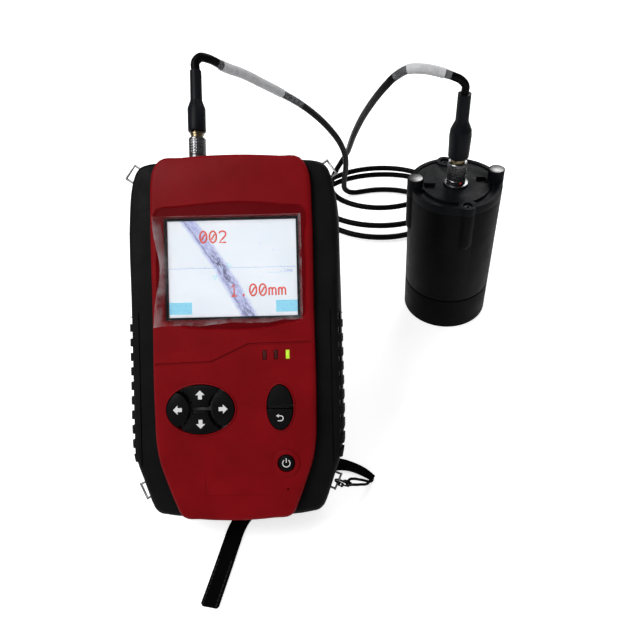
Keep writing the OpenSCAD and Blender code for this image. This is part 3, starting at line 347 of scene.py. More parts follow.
def glassFinish():
    material, tree, shader = newMaterial("screen window")
    feed(shader, {
        "Base Color": (0.96, 0.97, 0.98, 1), "Transmission Weight": 1.0, "IOR": 1.46,
        "Roughness": rangeNode(tree, noiseNode(tree, 90, 4, 0.6), 0.35, 0.75, 0.015, 0.075),
    })
    addBump(tree, shader, noiseNode(tree, 60, 2, 0.5), 0.02, 0.0002)
    return material


def shrinkFinish():
    # clear shrink tube: mostly see-through, with a milky gloss and small wrinkles
    material, tree, shader = newMaterial("clear shrink tube")
    feed(shader, {
        "Base Color": (0.75, 0.76, 0.8, 1), "Roughness": 0.2,
        "Alpha": rangeNode(tree, noiseNode(tree, 260, 4, 0.6), 0.3, 0.7, 0.05, 0.16),
    })
    addBump(tree, shader, noiseNode(tree, 700, 2, 0.5), 0.4, 0.0002)
    return material


def litFinish(name, colour, glow=0):
    # printed or lit mark: colour with a little unevenness, glowing a little
    material, tree, shader = newMaterial(name)
    paler = tuple(min(1, c * 1.12 + 0.02) for c in colour)
    mix = colourRamp(tree, noiseNode(tree, 700, 3, 0.6), (0.35, colour), (0.7, paler))
    feed(shader, {"Base Color": mix, "Roughness": 0.5})
    if glow:
        feed(shader, {"Emission Color": mix, "Emission Strength": glow})
    return material


redCase = mouldedFinish("red moulded case", (0.2, 0.001, 0.0036), (0.262, 0.0026, 0.0064),
                        0.45, 2600, 0.22, 0.05, 0.09)
# painted shade: a darker red for the flat recess floor, in place of the shade a floor sloping away from the
# lamps would get
redRecessPaintedShade = mouldedFinish("red recess floor with painted shade", (0.125, 0.0008, 0.0026), (0.155, 0.0014, 0.004),
                          0.38, 2600, 0.12, 0.05, 0.05)
blackCase = mouldedFinish("black moulded case", (0.004, 0.004, 0.0046), (0.007, 0.007, 0.008), 0.5, 2600, 0.3)
gripRubber = mouldedFinish("grip rubber", (0.0034, 0.0034, 0.0038), (0.0068, 0.0068, 0.0074),
                           0.56, 1800, 0.35, 0.08, 0.12)
keyRubber = mouldedFinish("key rubber", (0.0035, 0.0035, 0.0042), (0.006, 0.006, 0.007), 0.42, 3000, 0.2)
bootRubber = mouldedFinish("boot rubber", (0.004, 0.0045, 0.007), (0.007, 0.008, 0.0115), 0.45, 1500, 0.25)
probePaint = mouldedFinish("probe black", (0.0018, 0.0018, 0.002), (0.004, 0.004, 0.0044),
                           0.42, 2200, 0.4, 0.07, 0.07)
lidPaint = mouldedFinish("probe lid black", (0.004, 0.0044, 0.0056), (0.0078, 0.0084, 0.0104),
                         0.42, 2000, 0.3, 0.08, 0.06)
cableJacket = mouldedFinish("cable jacket", (0.0016, 0.0016, 0.002), (0.0036, 0.0036, 0.0044),
                            0.4, 900, 0.2, 0.06, 0.07)
platedMetal = metalFinish("satin plating", (0.2, 0.2, 0.205), (0.33, 0.33, 0.34), 0.3)
brassNeck = metalFinish("nickel over brass", (0.28, 0.22, 0.12), (0.4, 0.33, 0.2), 0.3)
screwSteel = metalFinish("screw steel", (0.14, 0.14, 0.15), (0.24, 0.24, 0.25), 0.35)
capMetal = metalFinish("satin post caps", (0.2, 0.197, 0.197), (0.29, 0.286, 0.286), 0.36)
wireMetal = metalFinish("bright wire", (0.42, 0.42, 0.43), (0.58, 0.58, 0.6), 0.26)
claspMetal = metalFinish("black clasp", (0.012, 0.012, 0.014), (0.03, 0.03, 0.034), 0.35)
screenGlass = glassFinish()
shrinkClear = shrinkFinish()
lampClear = mouldedFinish("unlit lamp window", (0.05, 0.012, 0.012), (0.09, 0.02, 0.02), 0.2, 2000, 0.1)
lampLit = litFinish("lit lamp window", (0.42, 0.63, 0.022), 0.55)
lampPale = mouldedFinish("white lamp", (0.75, 0.75, 0.62), (0.85, 0.85, 0.7), 0.3, 2000, 0.1)
boardGreen = mouldedFinish("circuit board", (0.01, 0.09, 0.03), (0.02, 0.14, 0.05), 0.4, 1200, 0.3)
siliconeGrey = mouldedFinish("silicone mat", (0.42, 0.42, 0.42), (0.5, 0.5, 0.5), 0.6, 1500, 0.2)
batteryBlue = mouldedFinish("battery wrap", (0.04, 0.09, 0.3), (0.06, 0.13, 0.38), 0.3, 500, 0.2)
markWhite = litFinish("white marks", (0.8, 0.8, 0.8))
markRed = mouldedFinish("red dot", (0.55, 0.02, 0.02), (0.68, 0.03, 0.03), 0.35, 2000, 0.1)
whiteTube = mouldedFinish("white tube", (0.66, 0.66, 0.67), (0.84, 0.84, 0.85), 0.42, 1200, 0.2)
stitchThread = mouldedFinish("strap thread", (0.012, 0.012, 0.012), (0.03, 0.03, 0.03), 0.7, 3000, 0.5)
print("materials ready")

# camera, light and floor
view = {"at": (-0.064, -0.358, 0.3357), "tilt": 45, "roll": -1.38, "lens": 33.75, "shiftX": -46 / 640}
cameraData = bpy.data.cameras.new("camera")
cameraData.lens = view["lens"]
cameraData.sensor_width = 36
cameraData.shift_x = view["shiftX"]
cameraData.clip_start = 0.01
camera = newObject("camera", cameraData)
camera.matrix_world = (Matrix.Translation(view["at"]) @ Matrix.Rotation(radians(view["tilt"]), 4, "X")
                       @ Matrix.Rotation(radians(view["roll"]), 4, "Z"))
bpy.context.scene.camera = camera
bpy.context.scene.view_settings.view_transform = "Standard"

world = bpy.data.worlds.new("studio")
bpy.context.scene.world = world
world.use_nodes = True
worldTree = world.node_tree
white = (1, 1, 1, 1)
ambient = feed(worldTree.nodes["Background"], {"Color": white, "Strength": 0.45})
dimRoom = addNode(worldTree, "Background", {"Color": white, "Strength": 0.08})
plainWhite = addNode(worldTree, "Background", {"Color": white, "Strength": 1.0})
rays = addNode(worldTree, "LightPath", {}).outputs
seenThrough = mathNode(worldTree, "MAXIMUM", rays["Is Camera Ray"], rays["Is Transmission Ray"])
glossyMix = addNode(worldTree, "MixShader", {0: rays["Is Glossy Ray"], 1: ambient.outputs[0],
                                             2: dimRoom.outputs[0]})
worldMix = addNode(worldTree, "MixShader", {0: seenThrough, 1: glossyMix.outputs[0],
                                            2: plainWhite.outputs[0]})
feed(worldTree.nodes["World Output"], {"Surface": worldMix.outputs[0]})


def softLamp(name, at, towards, size, power):
    data = bpy.data.lights.new(name, "AREA")
    data.shape = "DISK"
    data.size = size
    data.energy = power
    lamp = newObject(name, data)
    lamp.location = at
    lamp.rotation_euler = (Vector(towards) - Vector(at)).to_track_quat("-Z", "Y").to_euler()


softLamp("lamp above left", (-0.75, -0.35, 1.15), (-0.08, 0, 0.06), 0.7, 7.0)
softLamp("lamp behind", (0.35, 0.95, 0.95), (-0.05, 0, 0.06), 0.6, 5.0)

bpy.ops.mesh.primitive_plane_add(size=6)
floor = bpy.context.active_object
floor.name = "floor"
floorWhite, floorTree, floorShader = newMaterial("pale floor")
feed(floorShader, {"Base Color": (0.93, 0.93, 0.93, 1), "Roughness": 0.9})
matt = floorShader.outputs[0]
floorGlow = addNode(floorTree, "Emission", {"Color": white, "Strength": 0.66})
floorSum = addNode(floorTree, "AddShader", {0: matt, 1: floorGlow.outputs[0]})
toCamera = addNode(floorTree, "LightPath", {}).outputs["Is Camera Ray"]
floorMix = addNode(floorTree, "MixShader", {0: toCamera, 1: matt, 2: floorSum.outputs[0]})
feed(floorTree.nodes["Material Output"], {"Surface": floorMix.outputs[0]})
floor.data.materials.append(floorWhite)
print("camera, light and floor ready")

# cable with its plugs, boots and sleeves
cable = {
    "diameter": 5, "plugX": -20, "plugZ": 30, "socketY": 198.2, "readerBootEnd": 50.5, "probeSocketZ": 110.6,
    "probeBootEnd": 61.8, "perPoint": 7,
    "readerRoute": [(-153.6, -14.4, 203.4), (-149.5, -11.9, 201.6), (-146.5, -8.6, 198.3),
                    (-144.5, -5.4, 195.2), (-135, 10.5, 183), (-126.6, 23.2, 171.6), (-117.3, 36.7, 159),
                    (-107.1, 52.1, 144), (-97.2, 68.1, 126.5), (-88.7, 83.8, 107.5), (-82.2, 98.9, 87.9),
                    (-78.9, 113, 68.5), (-78.9, 125.8, 50.2), (-80.5, 136.7, 34), (-82, 145, 20.3),
                    (-81.5, 150.5, 10), (-77.5, 154, 4.2)],
    "probeRoute": [(-3, -0.5, 181), (-8, -2, 184), (-10.5, -2.6, 185.2), (-14, -3, 186.5), (-26.5, -2, 189),
                   (-35, 1.5, 187.5), (-42.2, 6, 181.7), (-48.3, 13.5, 172.2), (-53.7, 24.9, 160.1),
                   (-58.5, 40.1, 145.9), (-63, 58.1, 129.8), (-67.1, 77.8, 112.1), (-70.8, 98.1, 93.9),
                   (-73.6, 118.2, 76.5), (-75.7, 136.8, 61.5), (-77.5, 152, 49.5), (-80, 162, 40),
                   (-84.5, 165.5, 31), (-89.5, 163.5, 23.5)],
    "coilSteps": 24, "coilCount": 68, "coilX": -48, "coilOval": 1.3, "coilStart": 110, "coilRise": 5.6,
    "coilRadii": [41, 41, 50, 46, 47, 36, 36], "coilYs": [118, 118, 128, 133, 134, 143, 143],
    "coilLift": 0.05, "readerSleeve": (5, 8), "probeSleeve": (5, 7), "sleeveGap": 0.46, "sleeveWall": 0.4,
    "shrinkGap": 0.26, "shrinkWall": 0.18,
}


def eased(values, t):
    k = min(int(t), len(values) - 2)
    s = t - k
    return values[k] + (values[k + 1] - values[k]) * s * s * (3 - 2 * s)


def coilPoint(i):
    t = 2 * i / cable["coilSteps"]
    radius = eased(cable["coilRadii"], t)
    a = radians(cable["coilStart"] - 360 * i / cable["coilSteps"])
    return Vector((cable["coilX"] + cable["coilOval"] * radius * cos(a),
                   eased(cable["coilYs"], t) + radius * sin(a),
                   cable["diameter"] / 2 + cable["coilLift"] + cable["coilRise"] * i / cable["coilSteps"]))


def smoothPath(points, per):
    # rounds an open path through its points
    last = len(points) - 1
    slopes = [slopeAt(points[i - 1], points[i], points[i + 1]) for i in range(1, last)]
    slopes = [(points[1] - points[0]).normalized(), *slopes, (points[last] - points[last - 1]).normalized()]
    path = []
    for i in range(last):
        path += curveBetween(points[i], points[i + 1], slopes[i], slopes[i + 1], per)
    path.append(points[-1].copy())
    return path


def tubeCurve(path, radius, name, capped=True, sides=3):
    # path in mm
    data = bpy.data.curves.new(name, "CURVE")
    data.dimensions = "3D"
    spline = data.splines.new("POLY")
    spline.points.add(len(path) - 1)
    for point, place in zip(spline.points, path):
        point.co = (*(place * mm), 1)
    data.bevel_depth = radius * mm
    data.bevel_resolution = sides
    data.use_fill_caps = capped
    return newObject(name, data)


def meshTube(path, radius, name, **settings):
    activate(tubeCurve(path, radius, name, **settings))
    bpy.ops.object.convert(target="MESH")
    return bpy.context.active_object


def pathLength(path):
    return sum((b - a).length for a, b in zip(path, path[1:]))


readerExit = readerPoint(cable["plugX"], cable["socketY"] + cable["readerBootEnd"], cable["plugZ"]) / mm
probeExit = Vector((0, 0, cable["probeSocketZ"] + cable["probeBootEnd"]))
coilPoints = [coilPoint(i) for i in range(cable["coilCount"] + 1)]
step = cable["diameter"]
coilFirst = coilPoints[0] + (coilPoints[0] - coilPoints[1]).normalized() * step
coilLast = coilPoints[-1] + (coilPoints[-1] - coilPoints[-2]).normalized() * step
readerKeys = [readerExit, readerExit + upCase * step] + [Vector(p) for p in cable["readerRoute"]]
probeKeys = [probeExit, probeExit + Vector((0, 0, step))] + [Vector(p) for p in cable["probeRoute"]]
wholeKeys = readerKeys + [coilFirst] + coilPoints + [coilLast] + probeKeys[::-1]
wholePath = smoothPath(wholeKeys, cable["perPoint"])


def cordPiece(path, diameter, name, material, slotName, *nodes):
    return finishPiece(tubeCurve(path, diameter / 2, name), name, material, nodes)


cablePiece = cordPiece(wholePath, cable["diameter"], "cable", cableJacket, "cable_jacket",
                       "cable_reader_lead", "cable_coil", "cable_probe_lead")


def tubeSleeve(name, fromKey, toKey, outer, wall, material, node):
    path = wholePath[fromKey * cable["perPoint"]:toKey * cable["perPoint"] + 1]
    tube = meshTube(path, outer, name, capped=False, sides=6)
    editMode(tube)
    bpy.ops.mesh.remove_doubles(threshold=0.000001)
    bpy.ops.mesh.normals_make_consistent(inside=False)
    objectMode()
    applyModifier(tube, "SOLIDIFY", thickness=wall * mm, offset=-1)
    smoothShade(tube, 40)
    return finishPiece(tube, name, material, [node])


riders = []
lastKey = len(wholeKeys) - 1
probeEnd, probeStart = (lastKey - key for key in cable["probeSleeve"])
sleeveOuter = cable["diameter"] / 2 + cable["sleeveGap"]
tubes = (("white_sleeve", "sleeve_", 0, sleeveOuter, cable["sleeveWall"], whiteTube),
         ("clear_shrink", "shrink_", 1, sleeveOuter + cable["shrinkGap"], cable["shrinkWall"], shrinkClear))
for slotName, node, past, outer, wall, material in tubes:
    for end, first, last in (("reader", *cable["readerSleeve"]), ("probe", probeStart, probeEnd)):
        riders.append(tubeSleeve(slotName + "_" + end, first - past, last + past, outer, wall, material,
                                 node + end))

# plugs: turned collars and shells with rows of knurling, set on the socket's axis
plugTurn = Matrix.Rotation(radians(-90), 4, "X")
socketPlace = Matrix.Translation(Vector((cable["plugX"], cable["socketY"], cable["plugZ"])) * mm)
plugs = {
    "reader": {"diameter": 9.4, "collarFrom": 0.2, "collarTo": 2.8, "shellTo": 12.8, "neckTo": 16.2,
               "rows": 5, "around": 26, "dot": 90, "bootEdge": 0.25,
               "place": readerPlace @ socketPlace @ plugTurn},
    "probe": {"diameter": 13.0, "collarFrom": 0.2, "collarTo": 3.0, "shellTo": 15.4, "neckTo": 18.8,
              "rows": 5, "around": 30, "dot": -70, "bootEdge": 0.3,
              "place": Matrix.Translation((0, 0, cable["probeSocketZ"] * mm))},
}

turning = {
    "core": 0.72, "slide": 0.05, "play": 0.1, "groove": 0.35, "ridge": 0.12, "plainLow": 1.0,
    "plainHigh": 1.2, "knurlInset": 0.22, "knurlRise": 0.12, "coreReach": 7.5, "chamfer": 0.3,
    "collarEdge": 0.35, "shoulderFrom": 1.6, "shoulderTo": 1.8, "shoulderOut": 0.35, "dotRadius": 0.7,
}


def plugShell(plug, name, node, body):
    r = plug["diameter"] / 2
    z0 = plug["collarTo"] + turning["play"]
    z1 = plug["shellTo"] - turning["play"]
    inner = turning["core"] * r + turning["slide"]
    deep = r - turning["groove"]
    ridge = r - turning["ridge"]
    band0, band1 = z0 + turning["plainLow"], z1 - turning["plainHigh"]
    pitch = (band1 - band0) / plug["rows"]
    profile = [(inner, z0), (r - 0.3, z0), (r, z0 + 0.3), (r, band0)]
    knurlRows = []
    for i in range(plug["rows"]):
        low = band0 + i * pitch
        rowFrom, rowTo = low + 0.34, low + pitch - 0.16
        profile += [(deep, low + 0.12), (deep, low + 0.28), (ridge, rowFrom), (ridge, rowTo)]
        profile.append((deep, low + pitch - 0.1))
        knurlRows.append((rowFrom, rowTo))
    profile += [(r, band1), (r, z1 - 0.4), (r - 0.4, z1), (inner, z1), (inner, z0)]
    shell = turned(profile, plug["around"] * 2)
    editMode(shell, "DESELECT", "FACE")
    objectMode()
    for face in shell.data.polygons:
        c = face.center / mm
        around = atan2(c.y, c.x) / (2 * pi) * plug["around"] * 2
        onRow = any(a < c.z < b for a, b in knurlRows) and hypot(c.x, c.y) > r - 0.3
        face.select = onRow and around % 2 < 1
    bpy.ops.object.mode_set(mode="EDIT")
    bpy.ops.mesh.inset(thickness=turning["knurlInset"] * mm, depth=turning["knurlRise"] * mm,
                       use_individual=True)
    objectMode()
    placeAt(shell, plug["place"])
    smoothShade(shell, 30)
    return finishPiece(shell, name, platedMetal, [node], body)


def plugCore(plug, end):
    r = plug["diameter"] / 2
    inner = turning["core"] * r
    wide = inner + turning["shoulderOut"]
    start, cut, edge = -turning["coreReach"], turning["chamfer"], turning["collarEdge"]
    collarFrom, collarTo = plug["collarFrom"], plug["collarTo"]
    shellTo, neckTo = plug["shellTo"], plug["neckTo"]
    profile = [(0.001, start), (inner - cut, start), (inner, start + cut), (inner, collarFrom),
               (r - edge, collarFrom), (r, collarFrom + edge), (r, collarTo - cut), (r - cut, collarTo),
               (inner, collarTo), (inner, shellTo + turning["shoulderFrom"]),
               (wide, shellTo + turning["shoulderTo"]), (wide, neckTo - 0.8),
               (inner - 0.1, neckTo - 0.5), (inner - 0.1, neckTo), (0.001, neckTo)]
    core = turned(profile, 48)
    bpy.ops.mesh.primitive_uv_sphere_add(segments=16, ring_count=8, radius=turning["dotRadius"] * mm)
    dot = bpy.context.active_object
    turn = radians(plug["dot"])
    onRim = Vector((r * cos(turn), r * sin(turn), (collarFrom + collarTo) / 2))
    dot.data.transform(Matrix.Translation(onRim * mm))
    placeAt(core, plug["place"])
    placeAt(dot, plug["place"])
    smoothShade(core, 30)
    smoothShade(dot, 60)
    finishPiece(core, end + "_plug_collar", brassNeck, [end + "_plug_core"])
    core.data.materials.append(platedMetal)
    for face in core.data.polygons:
        along = (plug["place"].inverted() @ face.center).z / mm
        face.material_index = 1 if along < collarTo + 0.05 else 0
    return [core, finishPiece(dot, end + "_plug_dot", markRed)]


for end, plug in plugs.items():
    riders += plugCore(plug, end)
for end, plug in plugs.items():
    riders.append(plugShell(plug, end + "_plug_shell", end + "_plug", end + "_plug_sleeve"))
for end, plug in plugs.items():
    boot = softenedCopy(end + "_boot", "boot_at_" + end, plug["bootEdge"], 2, 30)
    riders.append(finishPiece(boot, "boot_at_" + end, bootRubber, [end + "_boot"]))
print("cable ready, length", round(pathLength(wholePath)), "mm")

# wrist strap, its cord and its clasp
strap = {
    "width": 10, "thickness": 1.8, "per": 8,
    "route": [(-62, -162.9), (-67.6, -158.6), (-76, -154.3), (-84.5, -152.5), (-92.5, -154), (-99.5, -160),
              (-106, -167.5), (-115, -173), (-125, -176.2), (-133.5, -180.5), (-139.5, -186.5),
              (-142.7, -193.5), (-144.8, -203), (-147, -214.5), (-149.5, -227), (-151.5, -236.9),
              (-151.7, -237.9)],
    "shares": [0.4, 0.55, 0.65, 0.85, 1, 1, 1, 1, 1, 1, 1, 1, 1, 1, 1, 1, 0.8],
    "cordDiameter": 1.6,
    "cordRoute": [(-63.3, -163.3, 1), (-64.6, -166.9, 2.8), (-70.2, -173.6, 12.2), (-75.5, -180.4, 24),
                  (-76.6, -181.8, 26.1), (-77.05, -182.3, 27.9), (-76.7, -181.65, 29.06), (-76, -180.6, 29.6),
                  (-75, -179.3, 28.6), (-73.9, -177.9, 26.4), (-69, -171.6, 14.1), (-62.6, -166.2, 3.6),
                  (-61.9, -161.9, 1)],
}


def webbingFinish():
    # woven webbing along its own map: fine diagonal ribs across, slightly paler where worn
    material, tree, shader = newMaterial("strap webbing")
    along = addNode(tree, "TexCoord", {}).outputs["UV"]
    ribs = addNode(tree, "TexWave", {"Vector": along, "Scale": 55, "Distortion": 0.6},
                   bands_direction="DIAGONAL")
    cross = addNode(tree, "TexWave", {"Vector": along, "Scale": 22}, bands_direction="X")
    weave = mathNode(tree, "MULTIPLY", ribs.outputs["Fac"], cross.outputs["Fac"])
    cloth = colourRamp(tree, weave, (0.0, (0.0012, 0.0012, 0.0014)), (0.9, (0.006, 0.006, 0.0066)))
    feed(shader, {"Base Color": cloth, "Roughness": 0.85, "Specular IOR Level": 0.08})
    addBump(tree, shader, weave, 0.6, 0.0003)
    return material


strapCloth = webbingFinish()
strapPath = smoothPath([Vector((x, y, 0)) for x, y in strap["route"]], strap["per"])


def webbingStrap():
    # a flat doubled band: rings along the route, raised edges, gathered where the cord is sewn in
    half = strap["width"] / 2
    t = strap["thickness"]
    right = [(half - 0.35, 0.04), (half, 0.35), (half, t / 2 - 0.12), (half - 0.22, t / 2),
             (half, t / 2 + 0.12), (half, t - 0.35), (half - 0.35, t - 0.03)]
    section = [(0.35 - half, 0.04), *right, (0, t - 0.1), *((-x, z) for x, z in right[:0:-1])]
    path = strapPath
    keys = strap["shares"]
    count = len(section)
    bpy.ops.mesh.primitive_circle_add(vertices=count, radius=0.01, fill_type="NGON")
    obj = bpy.context.active_object
    rows = []
    along = 0.0
    for i, place in enumerate(path):
        if i:
            along += (path[i] - path[i - 1]).length
            editMode(obj, "DESELECT")
            objectMode()
            for vertex in obj.data.vertices[-count:]:
                vertex.select = True
            bpy.ops.object.mode_set(mode="EDIT")
            bpy.ops.mesh.extrude_region_move(TRANSFORM_OT_translate={"value": (0, 0, mm)})
            objectMode()
        forward = (path[min(i + 1, len(path) - 1)] - path[max(i - 1, 0)]).normalized()
        side = Vector((forward.y, -forward.x, 0))
        low = min(i // strap["per"], len(keys) - 2)
        share = keys[low] + (keys[low + 1] - keys[low]) * (i / strap["per"] - low)
        for vertex, (across, up) in zip(obj.data.vertices[-count:], section):
            vertex.co = (place + side * across * share + Vector((0, 0, up))) * mm
            rows.append((across / strap["width"] + 0.5, along / strap["width"]))
    mapCorners(obj, lambda index: rows[index])
    recalcNormals(obj)
    smoothShade(obj, 40)
    return obj


webbing = finishPiece(webbingStrap(), "strap_band", strapCloth, ["strap_webbing"])
strapCordPath = smoothPath([Vector(p) for p in strap["cordRoute"]], 6)
strapCord = cordPiece(strapCordPath, strap["cordDiameter"], "strap_loop_cord", strapCloth, "strap_fabric",
                      "strap_cord")

# red front cover
face = reader["thickness"]
frontCover = {
    "shares": [(0, 0), (0.457, 0.005), (0.66, 0.0108), (0.69, 0.016), (0.757, 0.0453), (0.87, 0.1107),
               (0.945, 0.16), (0.985, 0.21), (1, 0.29), (1, 0.575), (1, 0.86), (0.99, 0.925), (0.972, 0.952),
               (0.935, 0.972), (0.869, 0.9885), (0.609, 0.9945), (0.31, 0.9985), (0, 1)],
    "recess": [(-0.905, 0.848), (-0.6, 0.858), (-0.2, 0.865), (0.06, 0.867), (0.35, 0.864), (0.65, 0.857),
               (0.895, 0.85), (0.905, 0.76), (0.905, 0.62), (0.87, 0.552), (0.6, 0.535), (0.34, 0.5255),
               (0, 0.5235), (-0.35, 0.527), (-0.6, 0.534), (-0.87, 0.552), (-0.905, 0.62), (-0.905, 0.76)],
    "step": [(-1.1, 0.4335), (-0.28, 0.4375), (0.18, 0.4838), (1.1, 0.4868)],
    "seal": 0.3, "wall": 2.5, "recessDepth": 1.2, "edge": 2.3, "recessSpread": 1.045, "rimWidth": 1.4,
    "rimHeight": 0.5, "rimSunk": 2, "rimEdge": 0.45, "powerRim": 3.1, "stepWidth": 1.3, "stepDepth": 0.6,
    "label": (-16.9, 15.6, 14.1, 25.6), "labelDepth": 0.18,
    "pinHole": (27.8, 16.8, 0.55, 0.55), "pinDepth": 1.2, "socketHole": 5.35, "socketReach": 8,
    "keyHole": 0.5, "keyFloor": 3, "lampFit": 0.15,
}
screen = {
    "width": 70.08, "height": 52.56, "y": 137, "windowMargin": 3, "windowThickness": 1.5, "fit": 0.15,
    "pictureLow": 38.02, "pictureTop": 38.25, "maskRim": 1.4, "maskLow": 39.31, "maskTop": 39.42,
}
pad = {"x": -18.4, "y": 61, "rx": 18.2, "ry": 13.1}
pair = {"x": 24.5, "y": 61.2, "rx": 6.9, "ry": 12}
power = {"x": 27.2, "y": 30.9, "rx": 4.3, "ry": 4.3}
lampPlaces = {"xs": (16.8, 22.9, 29.2), "y": 89.6, "width": 2, "height": 4.8, "low": 28.6, "sunk": 0.1,
              "edge": 0.4}


def keyLoop(key, grow, count):
    return ovalLoop(key["x"], key["y"], key["rx"] + grow, key["ry"] + grow, count)


def screenBox(grow, low, high):
    return boxAt(0, screen["y"], screen["width"] / 2 + grow, screen["height"] / 2 + grow, low, high)


def lampBox(x, grow, low, high):
    halfX, halfY = lampPlaces["width"] / 2 + grow, lampPlaces["height"] / 2 + grow
    return boxAt(x, lampPlaces["y"], halfX, halfY, low, high)


def onFront(shares):
    return [(sx * reader["frontHalfWidth"], sy * reader["length"]) for sx, sy in shares]


def caseOutline(shares, halfWidth, inset=0.0):
    right = [(sx * (halfWidth - inset), inset + sy * (reader["length"] - 2 * inset)) for sx, sy in shares]
    return right + [(-x, y) for x, y in right[-2:0:-1]]


def buildFrontCover():
    spec = frontCover
    low = reader["split"] + spec["seal"]
    above = face + 1
    recessFloor = face - spec["recessDepth"]
    cavity = recessFloor - spec["wall"]
    cover = slabFrom(smoothLoop(caseOutline(spec["shares"], reader["frontHalfWidth"]), 4), low, face)
    bevelTop(cover, face, spec["edge"], 6)
    top = face + spec["rimHeight"]
    wide = spec["rimWidth"]
    for key, grow, count in ((pad, wide, 72), (pair, wide, 56), (power, spec["powerRim"], 56)):
        ringPiece = slabFrom(keyLoop(key, grow, count), face - spec["rimSunk"], top)
        bevelTop(ringPiece, top, spec["rimEdge"])
        combine(cover, ringPiece, "UNION")
    inner = smoothLoop(caseOutline(spec["shares"], reader["frontHalfWidth"], spec["wall"]), 4)
    combine(cover, slabFrom(inner, low - 1, cavity))
    combine(cover, slabFrom(smoothLoop(onFront(spec["recess"]), 5), recessFloor, above, spec["recessSpread"]))
    windowGrow = screen["fit"] + screen["windowMargin"] / 2
    combine(cover, screenBox(windowGrow, recessFloor - screen["windowThickness"], above))
    combine(cover, screenBox(screen["fit"], cavity - 1, face))
    upper = onFront(spec["step"])
    lower = [(x, y - spec["stepWidth"]) for x, y in upper[::-1]]
    combine(cover, slabFrom(upper + lower, face - spec["stepDepth"], above))
    deep = reader["split"] + spec["keyFloor"]
    for key, count in ((pad, 72), (pair, 56), (power, 48)):
        combine(cover, slabFrom(keyLoop(key, spec["keyHole"], count), deep, face + 3))
    for x in lampPlaces["xs"]:
        combine(cover, lampBox(x, spec["lampFit"], cavity - 1, above))
    combine(cover, boxFrom(*spec["label"], face - spec["labelDepth"], above))
    combine(cover, slabFrom(ovalLoop(*spec["pinHole"], 20), face - spec["pinDepth"], above))
    wide, reach = spec["socketHole"], spec["socketReach"]
    socket = turned([(0.001, -reach), (wide, -reach), (wide, reach), (0.001, reach)], 40)
    middle = Vector((cable["plugX"], reader["length"], cable["plugZ"]))
    placeAt(socket, Matrix.Translation(middle * mm) @ plugTurn)
    combine(cover, socket)
    cover.data.materials.append(redCase)
    cover.data.materials.append(redRecessPaintedShade)
    # painted shade: the recess floor's upward faces get the darker red
    for polygon in cover.data.polygons:
        floorGetsPaintedShade = abs(polygon.center.z - recessFloor * mm) < 0.05 * mm and polygon.normal.z > 0.9
        polygon.material_index = 1 if floorGetsPaintedShade else 0
    placeInReader(cover)
    smoothShade(cover, 32)
    return cover


finishPiece(buildFrontCover(), "red_front_cover", None, ["front_cover"])
print("front cover ready")

# rubber grips with their ribs
grips = {
    "shares": [(0, 0), (0.355, 0.003), (0.68, 0.011), (0.77, 0.0175), (0.81, 0.028), (0.835, 0.042),
               (0.88, 0.0775), (0.925, 0.116), (0.977, 0.1605), (0.995, 0.195), (1, 0.24), (1, 0.42),
               (1, 0.6), (0.993, 0.86), (0.975, 0.912), (0.948, 0.946), (0.916, 0.9665), (0.875, 0.9785),
               (0.835, 0.983), (0.675, 0.9895), (0.473, 0.9945), (0.24, 0.9985), (0, 1)],
    "drop": 5, "edge": 3.2, "fit": 0.15, "padOut": 1.4, "padDrop": 0.6, "padFrom": 32, "padTo": 112,
    "pitch": 8, "notch": 3.6, "notchDepth": 0.8, "line": 4.8, "lineWidth": 0.6, "lineDepth": 0.7,
    "linePast": 2,
}


def buildGrips():
    low, high = reader["split"], face - grips["drop"]
    half = reader["halfWidth"]
    body = slabFrom(smoothLoop(caseOutline(grips["shares"], half), 4), low, high)
    bevelTop(body, high, grips["edge"], 5)
    padTop = high - grips["padDrop"]
    ribPad = slabFrom(smoothLoop(caseOutline(grips["shares"], half + grips["padOut"]), 4), low, padTop)
    bevelTop(ribPad, padTop, grips["edge"], 5)
    ends = boxFrom(-2 * half, 2 * half, grips["padFrom"], grips["padTo"], low - 1, high + 1)
    combine(ribPad, ends, "INTERSECT")
    combine(body, ribPad, "UNION")
    for side in (-1, 1):
        y = grips["padFrom"] + grips["pitch"] / 2
        while y < grips["padTo"] - grips["notch"]:
            edges = sorted((side * (half - grips["notchDepth"]), side * (half + 5)))
            combine(body, boxFrom(*edges, y, y + grips["notch"], low - 1, high + 1))
            y += grips["pitch"]
        line = side * (half - grips["line"])
        wide = grips["lineWidth"] / 2
        combine(body, boxFrom(line - wide, line + wide, grips["padFrom"] - grips["linePast"],
                              grips["padTo"] + grips["linePast"], high - grips["lineDepth"], high + 1))
    hole = smoothLoop(caseOutline(frontCover["shares"], reader["frontHalfWidth"] + grips["fit"]), 4)
    combine(body, slabFrom(hole, low - 1, high + 1))
    for side, end in ((-1, "left"), (1, "right")):
        grip = newObject("grip", body.data.copy())
        combine(grip, boxFrom(*sorted((0, 2 * side * half)), -10, reader["length"] + 10, low - 2, high + 2),
                "INTERSECT")
        placeInReader(grip)
        smoothShade(grip, 32)
        finishPiece(grip, "rubber_grip_" + end, gripRubber, ["grip_" + end])
    bpy.data.objects.remove(body)


buildGrips()
print("grips ready")

# keys with their marks
marks = {
    "keyRise": 0.8, "powerDrop": 0.4, "capEdge": 0.55, "sunk": 0.06, "proud": 0.04, "arrowX": 12.3,
    "arrowY": 7.9, "returnDrop": 5.9, "line": 0.5,
    "arrow": [(0, 2.4), (2.5, -0.1), (1.05, -0.1), (1.05, -2.4), (-1.05, -2.4), (-1.05, -0.1), (-2.5, -0.1)],
}
keyTop = face + marks["keyRise"]
powerTop = keyTop - marks["powerDrop"]
keyNames = ("up", "down", "left", "right", "enter", "back", "power")
keyBodies = {"key_" + name: name + "_key" for name in keyNames}
for node, body in keyBodies.items():
    cap = softenedCopy(node, "cap_" + node[4:], marks["capEdge"], 3, 34)
    finishPiece(cap, "cap_" + node[4:], keyRubber, [node], body)


